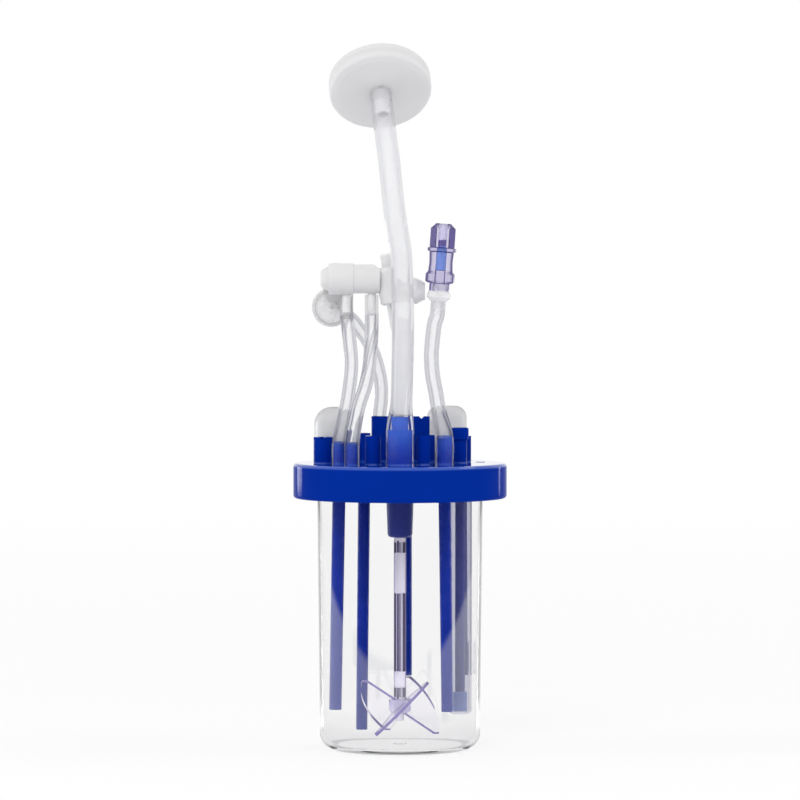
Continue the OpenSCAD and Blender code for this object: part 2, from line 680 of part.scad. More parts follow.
module dip_tube(place, turn, r_top, r_tip, tip_z, lean) {
    drop = (joint_z - tip_z) / cos(lean);
    color(blue) on_tube_axis(place, turn, lean) difference() {
        union() {
            cylinder(h = spigot_l, r = r_top);
            translate([0, 0, -drop]) cylinder(h = drop, r1 = r_tip, r2 = r_top);
        }
        translate([0, 0, -drop - 1]) cylinder(h = drop + spigot_l + 2, r = dip_bore_d / 2);
    }
}

module harvest_tube() dip_tube(harvest_at, harvest_turn, harvest_tube_d / 2, (harvest_tube_d - tube_taper) / 2,
    harvest_tip_z, harvest_lean);
module long_dip_tube() dip_tube(long_at, long_turn, long_tube_d / 2, (long_tube_d - tube_taper) / 2,
    long_tip_z, tube_lean);
module feed_tube() dip_tube(feed_at, feed_turn, feed_tube_d / 2, feed_tube_d / 2, feed_tip_z, 0);
module sampling_tube() dip_tube(sampling_at, sampling_turn, sampling_tube_d / 2,
    (sampling_tube_d - tube_taper) / 2, sampling_tip_z, tube_lean);

// The thermowell is closed, with a thicker tip
module thermowell() {
    r = thermowell_d / 2;
    tip_r = well_tip_d / 2;
    drop = joint_z - thermowell_tip_z;
    color(blue) on_tube_axis(thermowell_at, 0, well_lean) translate([0, 0, -drop]) turned([[0, 0],
        [tip_r - 0.4, 0], [tip_r, 0.4], [tip_r, well_tip_l - 0.4], [tip_r - 0.4, well_tip_l], [r, well_tip_l],
        [r, drop + spigot_l], [dip_bore_d / 2, drop + spigot_l], [dip_bore_d / 2, 1.5], [0, 1.5]]);
}

// ---- Sensor
module sensor_sleeve() {
    r = sleeve_d / 2;
    top = skirt_z + 0.4 + spigot_l - sleeve_tip_z;
    color(clear) at_port(sensor_at, sleeve_tip_z) turned(concat([[0, 0]],
        arc([r - 1.6, 1.6], 1.6, -90, 0, 5),
        [[r, top], [r - sleeve_wall, top], [r - sleeve_wall, 1.6]],
        arc([r - 1.6, 1.6], 1.6 - sleeve_wall, 0, -90, 5),
        [[0, sleeve_wall]]));
}

sensor_tip_z = sleeve_tip_z + sleeve_wall + 0.5;
neck_l = 0.4;
module sensor_core() {
    foot = sensor_tip_z + sensor_tip_l;
    color(blue) at_port(sensor_at, foot) {
        translate([0, 0, neck_l]) cylinder(h = deck_z + sensor_stub_h - foot - neck_l, r = core_d / 2);
        cylinder(h = neck_l + 0.5, r = core_d / 2 - 0.4);
    }
}

module sensor_tip() {
    color([0.35, 0.45, 0.75]) at_port(sensor_at, sensor_tip_z) cylinder(h = sensor_tip_l, r = sensor_tip_d / 2);
}

// ---- Hoses
inlet_insert = 8;
function port_top(place, h) = [place[0], place[1], deck_z + h];

module exhaust_hose() {
    r = exhaust_hose_d / 2;
    bore = exhaust_hose_bore_d / 2;
    out = exhaust_port_d / 2 + stretched_wall + 0.1;
    top = filter_at - 0.6 * filter_dir;
    start = port_top(exhaust_at, 0);
    rise = top[2] - start[2];
    // [share of the height, x and y away from the port as shares of the height]
    mids = [[0.177, 0.0041, 0], [0.306, 0.0075, 0], [0.415, 0.0078, 0], [0.517, 0.0048, 0.0007],
        [0.578, 0.0014, 0.0027], [0.66, -0.0116, 0.0109], [0.737, -0.0208, 0.0273], [0.819, -0.0293, 0.0545],
        [0.903, -0.0405, 0.092]];
    color(clear) swept_hose(concat(
        [[start[0], start[1], start[2], out, exhaust_port_d / 2],
            [start[0], start[1], start[2] + exhaust_port_h - 1, out, exhaust_port_d / 2]],
        [for (m = mids) [start[0] + m[1] * rise, start[1] + m[2] * rise, start[2] + m[0] * rise, r, bore]],
        [let (p = top - 4 * filter_dir) [p[0], p[1], p[2], r, bore]],
        [[top[0], top[1], top[2], r, bore]]), sides = 16);
}

module harvest_hose() color(clear) swept_hose(hose_run(port_top(harvest_at, 0),
    [harvest_barb_x, barrel_y, barrel_z - barrel_d / 2], hose_barb_d / 2, hose_barb_h - 1, [0, 0, 1],
    barb_l, hose_d / 2, hose_bore_d / 2,
    [[0.28, 0.0193, 0], [0.42, 0.0386, 0], [0.58, 0.049, 0], [0.72, 0.0327, 0.003]]));

module overlay_hose() color(clear) swept_hose(hose_run(port_top(overlay_at, 0),
    [overlay_barb_x, barrel_y, barrel_z - barrel_d / 2], hose_barb_d / 2, hose_barb_h - 1, [0, 0, 1],
    barb_l, hose_d / 2, hose_bore_d / 2,
    [[0.263, -0.0084, -0.029], [0.361, 0.0026, -0.038], [0.459, 0.0238, -0.042], [0.569, 0.0334, -0.036],
        [0.673, 0.0307, -0.025], [0.777, 0.0248, -0.012]]));

disc_back = disc_at + [0, disc_t / 2, 0];
disc_barb_l = 6;
module inlet_hose() {
    r = hose_d / 2;
    bore = hose_bore_d / 2;
    start = port_top(inlet_at, tall_port_h - inlet_insert);
    end = disc_back + [0, 0.6, 0];
    rise = end[2] - start[2];
    color(clear) swept_hose([
        [start[0], start[1], start[2], r, bore],
        [start[0], start[1], start[2] + inlet_insert, r, bore],
        for (w = [[0.29, 0.0135, 0], [0.42, 0.0096, -0.006], [0.56, -0.021, -0.012], [0.655, -0.054, -0.019],
                [0.74, -0.094, -0.023], [0.815, -0.147, -0.023], [0.9, -0.214, -0.019]])
            [start[0] + w[1] * rise, start[1] + w[2] * rise, start[2] + w[0] * rise, r, bore],
        [end[0] + 3.2, end[1] + 9.4, end[2] - 1.6, r, bore],
        [end[0] + 0.2, end[1] + disc_barb_l, end[2] - 0.1, r, bore],
        [end[0], end[1], end[2], r, bore]]);
}

tee_dir = [-sin(tee_lean), 0, cos(tee_lean)];
module feed_hose() color(clear) swept_hose(hose_run(port_top(feed_at, 0), tee_foot,
    hose_barb_d / 2, hose_barb_h - 1, tee_dir, barb_l, hose_d / 2, hose_bore_d / 2,
    [[0.35, 0.0134, 0.0507], [0.52, 0.0209, 0.0358], [0.7, 0.0224, 0.009], [0.81, 0.0187, 0.001]]));

module sampling_hose() color(clear) swept_hose(hose_run(port_top(sampling_at, 0),
    valve_at - fitting_h * valve_dir, low_port_d / 2, low_port_h - 1, valve_dir, fitting_barb_l,
    sampling_hose_d / 2, hose_bore_d / 2,
    [[0.328, -0.0236, 0], [0.4345, -0.0363, 0], [0.539, -0.0519, 0], [0.646, -0.056, 0], [0.75, -0.0465, 0],
        [0.857, -0.0292, 0]]));

// ---- Exhaust filter, made along +Z from its barb side and then placed
module at_filter() {
    translate(filter_at) point_along(filter_dir) children();
}

membrane_t = 0.4;
// The two shells meet at half the thickness, around the membrane
module filter_shell(r, t, bore_r) {
    edge = t * 0.33;
    turned(concat([[bore_r, 0], [r * 0.85, 0]], arc([r - edge, edge * 1.3], edge, -80, 0, 4),
        [[r, t], [r - 1.2, t], [r - 1.2, t - membrane_t / 2], [r - 2.4, t - membrane_t / 2],
            [r * 0.8, t * 0.42], [bore_r, t * 0.3]]));
}

// A hose barb that points down from the origin
module barb(l, bore, rings = 3) {
    rise = (l - 1) / rings;
    turned(concat([[bore * 0.55, 0.4], [bore * 0.55, -l], [bore - 0.4, -l]],
        [for (i = [0:rings - 1]) each [[bore, -l + rise * (i + 0.7)], [bore - 0.3, -l + rise * (i + 0.75)]]],
        [[bore - 0.3, 0.4]]));
}

module exhaust_filter_base() {
    color(natural) at_filter() {
        filter_shell(filter_d / 2, filter_t / 2, exhaust_hose_bore_d * 0.275);
        barb(filter_barb_l, exhaust_hose_bore_d / 2);
    }
}

module exhaust_filter_cover() {
    color(natural) at_filter() translate([0, 0, filter_t]) mirror([0, 0, 1]) {
        filter_shell(filter_d / 2, filter_t / 2, exhaust_hose_bore_d * 0.275);
        translate([0, 0, -9]) pipe(9.4, 3.4, exhaust_hose_bore_d * 0.275);
    }
}

module exhaust_membrane() {
    color("white") at_filter() translate([0, 0, (filter_t - membrane_t) / 2])
        cylinder(h = membrane_t, r = filter_d / 2 - 1.2);
}

// ---- Inlet filter, with its axis along Y
module at_disc() {
    translate(disc_back) rotate([90, 0, 0]) children();
}

module inlet_filter_base() {
    color(natural) at_disc() {
        filter_shell(disc_d / 2, disc_t / 2, hose_bore_d * 0.275);
        barb(disc_barb_l, hose_bore_d / 2, 2);
    }
}

module inlet_filter_cover() {
    color(natural) at_disc() translate([0, 0, disc_t]) mirror([0, 0, 1]) {
        filter_shell(disc_d / 2, disc_t / 2, hose_bore_d * 0.275);
        translate([0, 0, -1.2]) pipe(1.4, 2.2, hose_bore_d * 0.275);
    }
}

module inlet_membrane() {
    color("white") at_disc() translate([0, 0, (disc_t - membrane_t) / 2])
        cylinder(h = membrane_t, r = disc_d / 2 - 1.2);
}

// ---- Manifold
manifold_bore_r = barrel_d / 2 - 2;
end_wall = 3.2;
nipple_r = 3;
saddle_gap = 0.1;
module manifold_body() {
    r = barrel_d / 2;
    color(natural) difference() {
        union() {
            translate([barrel_left_x, barrel_y, barrel_z]) rotate([0, 90, 0])
                turned([[0, 0], [r, 0], [r, barrel_l * 0.47], [r - 0.5, barrel_l * 0.47 + 0.3],
                    [r - 0.5, barrel_l - 0.6], [r - 1.1, barrel_l], [0, barrel_l]]);
            for (x = [harvest_barb_x, overlay_barb_x]) translate([x, barrel_y, barrel_z - r - barb_l])
                cylinder(h = barb_l + 2, r = barb_r);
        }
        translate([barrel_left_x - 1, barrel_y, barrel_z]) rotate([0, 90, 0])
            cylinder(h = barrel_l + 1 - end_wall, r = manifold_bore_r);
        translate([barrel_right_x - end_wall - 1, barrel_y, barrel_z]) rotate([0, 90, 0])
            cylinder(h = end_wall + 2, r = nipple_r);
        for (x = [harvest_barb_x, overlay_barb_x]) translate([x, barrel_y, barrel_z - r - barb_l - 1])
            cylinder(h = barb_l + r, r = barb_r * 0.55);
        // hollow end that lies against the tee
        along_tee() translate([0, 0, -1]) cylinder(h = tee_h + barrel_d / 2, r = tee_d / 2 + saddle_gap);
    }
}

module manifold_end_plug() {
    r = barrel_d / 2;
    color(natural) translate([barrel_left_x, barrel_y, barrel_z]) rotate([0, -90, 0])
        turned([[0, -4], [manifold_bore_r, -4], [manifold_bore_r, 0], [r - 1.2, 0], [r - 2.6, 2.6],
            [r - 3.4, 3.2], [0, 3.2]]);
}

module along_tee() {
    translate(tee_foot) point_along(tee_dir) children();
}

// A cylinder along X through the tee, from x1 to x2
module cross_tee(x1, x2, z, r) {
    translate([x1, barrel_y, z]) rotate([0, 90, 0]) cylinder(h = x2 - x1, r = r);
}

branch_z = tee_foot[2] + 5.2;
branch_x = 4.6;
branch_bore_r = 1.4;
tee_bore_r = tee_d / 2 - 2.2;
module manifold_tee() {
    r = tee_d / 2;
    color(natural) difference() {
        union() {
            along_tee() turned([[0, 0], [r - 1, 0], [r, 0.8], [r, tee_h - 1.4], [r - 1.4, tee_h], [0, tee_h]]);
            along_tee() translate([0, 0, -barb_l]) cylinder(h = barb_l + 1, r = barb_r);
            // the nipple that enters the barrel, and the branch behind the exhaust hose
            cross_tee(barrel_right_x - end_wall, tee_foot[0] - 1, barrel_z, nipple_r);
            cross_tee(tee_foot[0], branch_x, branch_z, 2.6);
        }
        along_tee() translate([0, 0, -barb_l - 1]) cylinder(h = barb_l + 4, r = barb_r * 0.55);
        along_tee() translate([0, 0, 2]) cylinder(h = tee_h, r = tee_bore_r);
        cross_tee(barrel_right_x - end_wall - 1, tee_foot[0] - 1, barrel_z, nipple_r - 1.4);
        cross_tee(tee_foot[0], branch_x + 1, branch_z, branch_bore_r);
    }
}

tee_plug_l = 3;
module tee_plug() {
    color(natural) along_tee() translate([0, 0, tee_h]) turned([[0, -tee_plug_l], [tee_bore_r, -tee_plug_l],
        [tee_bore_r, 0], [2, 0], [2, 4.8], [1.6, 5.2], [0, 5.2]]);
}

module branch_cap() {
    color(natural) translate([branch_x, barrel_y, branch_z]) rotate([0, 90, 0])
        turned([[0, -1.6], [branch_bore_r, -1.6], [branch_bore_r, 0], [4.6, 0], [5.2, 0.6], [5.2, 2],
            [3.9, 4.4], [3.5, 5.4], [0, 5.4]]);
}

// ---- Sampling valve, made along +Z from its seat and then placed
module at_valve(along = 0) {
    translate(valve_at + along * valve_dir) point_along(valve_dir) children();
}

valve_skirt_h = 3.2;
valve_bulge_h = 4.2;
valve_body_top = 17.4;
valve_top = 26.8;
valve_spigot_l = 2.6;
spigot_r = 2.4;
module valve_fitting() {
    color(natural) at_valve(-fitting_h) {
        turned([[0.9, 0], [3.4, 0], [4.7, 1.3], [4.7, 2.8], [3.9, fitting_h], [spigot_r, fitting_h],
            [spigot_r, fitting_h + valve_spigot_l], [0.9, fitting_h + valve_spigot_l]]);
        difference() {
            translate([0, 0, -fitting_barb_l]) cylinder(h = fitting_barb_l + 1, r = barb_r);
            translate([0, 0, -fitting_barb_l - 1]) cylinder(h = fitting_barb_l + 3, r = 0.9);
        }
    }
}

module valve_body() {
    r = valve_body_d / 2;
    skirt_r = 4;
    bulge_r = 5.8;
    bulge_z = valve_skirt_h + valve_bulge_h;
    chamber = piston_d / 2 + piston_gap;
    color(violet) at_valve() turned([[spigot_r, 0], [skirt_r, 0], [skirt_r, valve_skirt_h - 0.4],
        [bulge_r - 0.6, valve_skirt_h], [bulge_r, valve_skirt_h + 0.6], [bulge_r, bulge_z - 0.8],
        [bulge_r - 0.6, bulge_z], [r, bulge_z + 0.4], [r - 0.25, bulge_z + 4], [r, valve_body_top - 2],
        [5.7, valve_body_top - 1.6], [5.7, valve_body_top - 0.4], [r - 0.3, valve_body_top],
        [chamber, valve_body_top], [chamber, valve_spigot_l], [spigot_r, valve_spigot_l]]);
}

piston_foot = valve_spigot_l + piston_travel + 1.4;
module valve_cap() {
    across = valve_cap_w / 2;
    color(violet) at_valve(valve_body_top) difference() {
        intersection() {
            cylinder(h = valve_top - valve_body_top, r = across, $fn = 6);
            turned([[0, 0], [across, 0], [across, 7.4], [across - 1.9, valve_top - valve_body_top],
                [0, valve_top - valve_body_top]]);
        }
        translate([0, 0, -1]) cylinder(h = valve_top, r = piston_d / 2 + piston_gap);
    }
}

module valve_piston() {
    r = piston_d / 2;
    color([0.12, 0.22, 0.85]) at_valve(piston_foot)
        turned([[0, 0], [r - 0.4, 0], [r, 0.4], [r, valve_top - piston_foot - 0.3],
            [r - 0.3, valve_top - piston_foot], [0, valve_top - piston_foot]]);
}

vessel();
vessel_seal();
head_plate();
bearing_hub();
upper_bearing();
lower_bearing();
magnet_carrier();
coupling_magnets();
shaft();
impeller();
harvest_tube();
long_dip_tube();
feed_tube();
sampling_tube();
thermowell();
sensor_sleeve();
sensor_core();
sensor_tip();
sensor_port_cap();
left_port_cap();
right_port_cap();
exhaust_hose();
exhaust_filter_base();
exhaust_filter_cover();
exhaust_membrane();
harvest_hose();
overlay_hose();
inlet_hose();
feed_hose();
sampling_hose();
manifold_body();
manifold_end_plug();
manifold_tee();
tee_plug();
branch_cap();
inlet_filter_base();
inlet_filter_cover();
inlet_membrane();
valve_fitting();
valve_body();
valve_cap();
valve_piston();
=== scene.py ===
"""Bench bioreactor: dresses the packed model, as a Blender add-on or as a script."""

import math

import bmesh
import bpy
from bpy.props import FloatProperty, FloatVectorProperty, IntProperty, PointerProperty
from mathutils import Matrix, Vector


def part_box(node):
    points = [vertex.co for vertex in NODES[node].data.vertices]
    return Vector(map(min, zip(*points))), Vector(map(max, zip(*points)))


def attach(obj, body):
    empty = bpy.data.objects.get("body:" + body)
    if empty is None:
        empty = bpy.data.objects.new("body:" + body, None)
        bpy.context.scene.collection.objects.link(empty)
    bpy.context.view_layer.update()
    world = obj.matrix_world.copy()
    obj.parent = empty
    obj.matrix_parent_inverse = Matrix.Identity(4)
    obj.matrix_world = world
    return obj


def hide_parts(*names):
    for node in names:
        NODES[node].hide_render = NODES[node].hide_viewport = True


bl_info = {
    "name": "Bench bioreactor",
    "version": (1, 0, 0),
    "blender": (4, 5, 0),
    "location": "View3D > Sidebar > Bioreactor",
    "description": "Dresses the packed bioreactor with its hoses, caps, plastics and studio",
    "category": "Object",
}

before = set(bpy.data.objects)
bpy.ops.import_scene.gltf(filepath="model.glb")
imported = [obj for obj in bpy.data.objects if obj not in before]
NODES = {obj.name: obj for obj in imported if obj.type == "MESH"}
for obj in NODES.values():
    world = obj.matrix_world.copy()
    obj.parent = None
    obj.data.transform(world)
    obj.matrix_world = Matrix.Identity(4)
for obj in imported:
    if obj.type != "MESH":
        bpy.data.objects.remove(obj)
bpy.context.view_layer.update()
MM = 0.001
# Edges that turn more than this stay sharp
SHARP = math.radians(35)
# Points of a mesh closer than this, in metres, are one point
SAME = 1e-7
# Height of the head plate's flat top
DECK_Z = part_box("left_port_cap")[0].z


# ---- Settings
def colour_setting(name, description, default):
    """A colour property."""
    return FloatVectorProperty(
        name=name, description=description, subtype="COLOR", size=3, default=default
    )


class BIOREACTOR_PG_hoses(bpy.types.PropertyGroup):
    """Sizes and colours of the clear hoses."""

    sides: IntProperty(
        name="Sides", description="Facets around each hose", default=32, min=12, max=64
    )
    steps: IntProperty(
        name="Steps",
        description="Rings between two points of a hose's route",
        default=9,
        min=3,
        max=24,
    )
    tint: colour_setting(
        "Tint",
        "Colour of the clear silicone seen straight on",
        (0.97, 0.97, 0.972),
    )
    # Painted shade: the edge tint darkens the clear silicone where it turns away from the
    # viewer, for the dark refraction along its walls
    edge_tint_and_painted_shade: colour_setting(
        "Painted edge shade",
        "Painted shade of the clear silicone along its edges",
        (0.68, 0.68, 0.71),
    )
    soft_tint: colour_setting(
        "Soft tint",
        "Colour of the softer, milky silicone seen straight on",
        (0.9, 0.9, 0.905),
    )
    # Painted shade along the edges of the softer silicone, as for the clear silicone
    soft_edge_painted_shade: colour_setting(
        "Soft painted edge shade",
        "Painted shade of the softer, milky silicone along its edges",
        (0.83, 0.83, 0.845),
    )
    foot_tint: colour_setting(
        "Foot tint",
        "Colour of the hoses where they sit on their ports",
        (0.87, 0.9, 1.0),
    )
    roughness: FloatProperty(
        name="Roughness",
        description="Haze of the silicone",
        subtype="FACTOR",
        default=0.04,
        min=0,
        max=1,
    )


class BIOREACTOR_PG_vessel(bpy.types.PropertyGroup):
    """Colours of the clear vessel and the sensor's sleeve."""

    tint: colour_setting(
        "Tint",
        "Colour of the vessel's wall seen straight on",
        (0.985, 0.985, 0.986),
    )
    # Painted shade: the edge tint darkens the wall's outer face where it turns away from the
    # viewer, for the dark refraction and reflection along its edges
    edge_tint_and_painted_shade: colour_setting(
        "Painted edge shade",
        "Painted shade of the vessel's wall along its edges",
        (0.02, 0.02, 0.022),
    )
    # Painted shade: the thick rounded base is greyed for the light bent through it
    base_painted_shade: colour_setting(
        "Base painted shade",
        "Painted shade of the vessel's thick rounded base",
        (0.94, 0.94, 0.945),
    )
    # Painted shade: the ring that the vessel stands on is darkened as its contact shadow and
    # the dark line refracted at its foot
    foot_tint: colour_setting(
        "Foot tint",
        "Painted contact shadow on the ring that the vessel stands on",
        (0.52, 0.52, 0.54),
    )
    sleeve_tint: colour_setting(
        "Sleeve tint",
        "Colour of the sensor's sleeve seen straight on",
        (0.74, 0.74, 0.82),
    )
    # Painted shade along the sleeve's edges
    sleeve_edge_painted_shade: colour_setting(
        "Sleeve edge",
        "Painted shade of the sensor's sleeve along its edges",
        (0.45, 0.45, 0.55),
    )


class BIOREACTOR_PG_colours(bpy.types.PropertyGroup):
    """Colours of the coloured and frosted mouldings."""

    plate: colour_setting(
        "Head plate",
        "Colour of the head plate and the sensor port's cap",
        (0.001, 0.024, 0.29),
    )
    # Painted sheen: the flat top and its rim are given a lighter blue than the plate
    deck: colour_setting(
        "Deck",
        "Painted sheen on the head plate's flat top and its rounded rim",
        (0.015, 0.07, 0.42),
    )
    barb: colour_setting(
        "Ports",
        "Colour of the head plate's ports as lit through their hoses",
        (0.04, 0.12, 0.5),
    )
    tube: colour_setting("Dip tubes", "Colour of the dip tubes", (0.006, 0.022, 0.247))
    hub: colour_setting("Bearing hub", "Colour of the bearing hub", (0.024, 0.034, 0.19))
    violet: colour_setting(
        "Blades",
        "Colour that the blades take on with depth",
        (0.2, 0.02, 0.6),
    )
    violet_edge: colour_setting(
        "Blade edge tint",
        "Colour of the blades' flat faces seen along them",
        (0.7, 0.66, 0.85),
    )
    blade_edge: colour_setting(
        "Cut edges",
        "Colour of the cut edges of the impeller's blades",
        (0.2, 0.16, 0.42),
    )
    rim: colour_setting(
        "Blade rims",
        "Colour of the blades' curved rims seen straight on",
        (0.14, 0.11, 0.35),
    )
    rod: colour_setting("Shaft", "Colour of the shaft seen straight on", (0.84, 0.81, 0.92))
    # Painted shade along the shaft's edges
    rod_edge_painted_shade: colour_setting(
        "Shaft edge",
        "Painted shade of the shaft along its edges",
        (0.42, 0.39, 0.55),
    )
    fin_border: FloatProperty(
        name="Fin border",
        description="Width of the pale border along each fin's outer end",
        subtype="DISTANCE",
        unit="LENGTH",
        default=0.00014,
        min=0.0,
    )
    # Painted shade: the fins' sides darken towards their outer ends
    fin_painted_shade: colour_setting(
        "Fin shade",
        "Painted shade on the fins' sides near their outer ends",
        (0.13, 0.11, 0.2),
    )
    # Painted shade: a dark line along each fin's outer end
    fin_painted_shade_line: colour_setting(
        "Fin edges",
        "Painted dark line along each fin's outer end",
        (0.06, 0.045, 0.13),
    )
    hub_violet: colour_setting("Impeller hub", "Tint of the impeller's hub", (0.62, 0.58, 0.8))
    valve: colour_setting(
        "Valve",
        "Tint of the sampling valve's body and cap",
        (0.88, 0.86, 0.93),
    )
    # Painted shade: the body and cap darken where they turn away from the viewer
    valve_edge_painted_shade: colour_setting(
        "Valve edge",
        "Painted shade of the sampling valve's body and cap along their edges",
        (0.02, 0.012, 0.12),
    )
    piston: colour_setting(
        "Piston",
        "Colour of the sampling valve's piston",
        (0.25, 0.42, 0.8),
    )
    piston_neck: colour_setting(
        "Piston neck",
        "Colour of the piston just under its button",
        (0.16, 0.13, 0.36),
    )
    button: colour_setting("Push button", "Colour of the piston's upper end", (0.9, 0.9, 0.94))
    inner_barb: colour_setting(
        "Filter barb",
        "Colour of the exhaust filter's barb inside its hose",
        (0.54, 0.54, 0.55),
    )
    frosted: colour_setting(
        "Exhaust filter",
        "Colour of the frosted exhaust filter",
        (0.7, 0.695, 0.705),
    )


class BIOREACTOR_PG_stage(bpy.types.PropertyGroup):
    """Camera, floor and light."""

    camera_height: FloatProperty(
        name="Camera height",
        description="Height of the camera above the floor",
        default=0.2136,
        unit="LENGTH",
    )
    camera_distance: FloatProperty(
        name="Camera distance",
        description="Distance of the camera in front of the vessel's axis",
        default=2.203,
        unit="LENGTH",
    )
    aim_height: FloatProperty(
        name="Aim height",
        description="Height that the camera looks at",
        default=0.14,
        unit="LENGTH",
    )
    lens: FloatProperty(
        name="Lens", description="Focal length in millimetres", default=247.97
    )
    room_light: FloatProperty(
        name="Room light",
        description="Strength of the even light from all sides",
        default=0.7,
        min=0,
    )
    key_power: FloatProperty(
        name="Key light",
        description="Power of the large front lamp",
        default=7.5,
        unit="POWER",
        min=0,
    )
    floor_glow: FloatProperty(
        name="Floor glow",
        description="Brightness that the floor adds to its own lit white",
        default=0.735,
        min=0,
    )
    strip_power: FloatProperty(
        name="Strip lights",
        description="Power of the right strip lamp behind the object",
        default=0.85,
        unit="POWER",
        min=0,
    )


# ---- Shader helpers
def feed(tree, socket, value):
    """Links a socket to another node's output, or sets it to a plain value."""
    if isinstance(value, bpy.types.NodeSocket):
        tree.links.new(value, socket)
    else:
        socket.default_value = value


def number(tree, operation, *values):
    """The result of a Math node."""
    node = tree.nodes.new("ShaderNodeMath")
    node.operation = operation
    for socket, value in zip(node.inputs, values):
        feed(tree, socket, value)
    return node.outputs[0]


def vector(tree, operation, *values):
    """The result of a vector Math node: a number where the operation gives one."""
    node = tree.nodes.new("ShaderNodeVectorMath")
    node.operation = operation
    for socket, value in zip(node.inputs, values):
        feed(tree, socket, value)
    gives_number = operation in ("LENGTH", "DISTANCE", "DOT_PRODUCT")
    return node.outputs["Value" if gives_number else "Vector"]


def mapped(tree, value, start, end, low, high, shape="LINEAR"):
    """A value carried over from the range start to end to the range low to high."""
    node = tree.nodes.new("ShaderNodeMapRange")
    node.interpolation_type = shape
    labels = ("Value", "From Min", "From Max", "To Min", "To Max")
    for label, given in zip(labels, (value, start, end, low, high)):
        feed(tree, node.inputs[label], given)
    return node.outputs["Result"]


def ramp(tree, value, start, end):
    """A smooth step from 0 at start to 1 at end."""
    return mapped(tree, value, start, end, 0.0, 1.0, "SMOOTHSTEP")


def band(tree, *steps):
    """The product of smooth steps, each given as (value, start, end)."""
    mask = ramp(tree, *steps[0])
    for step in steps[1:]:
        mask = number(tree, "MULTIPLY", mask, ramp(tree, *step))
    return mask


def noise(tree, where, scale, detail):
    """The value of a noise texture."""
    node = tree.nodes.new("ShaderNodeTexNoise")
    node.inputs["Detail"].default_value = detail
    feed(tree, node.inputs["Vector"], where)
    feed(tree, node.inputs["Scale"], scale)
    return node.outputs["Fac"]


def blended(tree, amount, first, second):
    """A colour between two others, each an output or a plain (red, green, blue)."""
    node = tree.nodes.new("ShaderNodeMix")
    node.data_type = "RGBA"
    feed(tree, node.inputs["Factor"], amount)
    for label, colour in (("A", first), ("B", second)):
        plain = not isinstance(colour, bpy.types.NodeSocket)
        feed(tree, node.inputs[label], (*colour, 1) if plain else colour)
    return node.outputs["Result"]


def mixed(tree, amount, first, second):
    """A shader between two others."""
    node = tree.nodes.new("ShaderNodeMixShader")
    for socket, value in zip(node.inputs, (amount, first, second)):
        feed(tree, socket, value)
    return node.outputs[0]


def object_place(tree):
    """Object coordinates."""
    return tree.nodes.new("ShaderNodeTexCoord").outputs["Object"]


def flat_place(tree):
    """Object coordinates with the height left out."""
    return vector(tree, "MULTIPLY", object_place(tree), (1, 1, 0))


def height_and_radius(tree):
    """Object height and distance from the upright axis, in metres."""
    parts = tree.nodes.new("ShaderNodeSeparateXYZ")
    feed(tree, parts.inputs[0], object_place(tree))
    return parts.outputs["Z"], vector(tree, "LENGTH", flat_place(tree))


def turned_away(tree):
    """How far a surface turns away from the viewer: 0 straight on, 1 along it."""
    node = tree.nodes.new("ShaderNodeLayerWeight")
    node.inputs["Blend"].default_value = 0.5
    return node.outputs["Facing"]


def principled(tree):
    """A tree's Principled shader."""
    return next(n for n in tree.nodes if n.type == "BSDF_PRINCIPLED")


def moulded_surface_group():
    """Fine ripple and gloss variation of a moulded plastic."""
    group = bpy.data.node_groups.new("Moulded surface", "ShaderNodeTree")
    for label, side, kind in (
        ("Vector", "INPUT", "NodeSocketVector"),
        ("Scale", "INPUT", "NodeSocketFloat"),
        ("Gloss low", "INPUT", "NodeSocketFloat"),
        ("Gloss high", "INPUT", "NodeSocketFloat"),
        ("Height", "OUTPUT", "NodeSocketFloat"),
        ("Roughness", "OUTPUT", "NodeSocketFloat"),
    ):
        group.interface.new_socket(name=label, in_out=side, socket_type=kind)
    given = group.nodes.new("NodeGroupInput").outputs
    out = group.nodes.new("NodeGroupOutput")
    where, scale = given["Vector"], given["Scale"]
    broad = noise(group, where, scale, 3.0)
    fine = noise(group, where, number(group, "MULTIPLY", scale, 6.0), 2.0)
    height = number(group, "MULTIPLY_ADD", fine, 0.25, broad)
    gloss = mapped(group, broad, 0.3, 0.7, given["Gloss low"], given["Gloss high"])
    feed(group, out.inputs["Height"], height)
    feed(group, out.inputs["Roughness"], gloss)
    return group


MOULDED = moulded_surface_group()


def new_material(name):
    """An empty node material with an output."""
    material = bpy.data.materials.new(name)
    material.use_nodes = True
    tree = material.node_tree
    tree.nodes.clear()
    return material, tree, tree.nodes.new("ShaderNodeOutputMaterial")


def moulded(tree, scale, gloss, depth, ior, gleam):
    """A Principled shader with the moulded surface in its roughness and normal."""
    shader = tree.nodes.new("ShaderNodeBsdfPrincipled")
    shader.inputs["IOR"].default_value = ior
    shader.inputs["Specular Tint"].default_value = (gleam, gleam, gleam, 1)
    surface = tree.nodes.new("ShaderNodeGroup")
    surface.node_tree = MOULDED
    bump = tree.nodes.new("ShaderNodeBump")
    for socket, value in (
        (surface.inputs["Vector"], object_place(tree)),
        (surface.inputs["Scale"], scale),
        (surface.inputs["Gloss low"], gloss[0]),
        (surface.inputs["Gloss high"], gloss[1]),
        (bump.inputs["Strength"], 1.0),
        (bump.inputs["Distance"], depth),
        (bump.inputs["Height"], surface.outputs["Height"]),
        (shader.inputs["Roughness"], surface.outputs["Roughness"]),
        (shader.inputs["Normal"], bump.outputs["Normal"]),
    ):
        feed(tree, socket, value)
    return shader


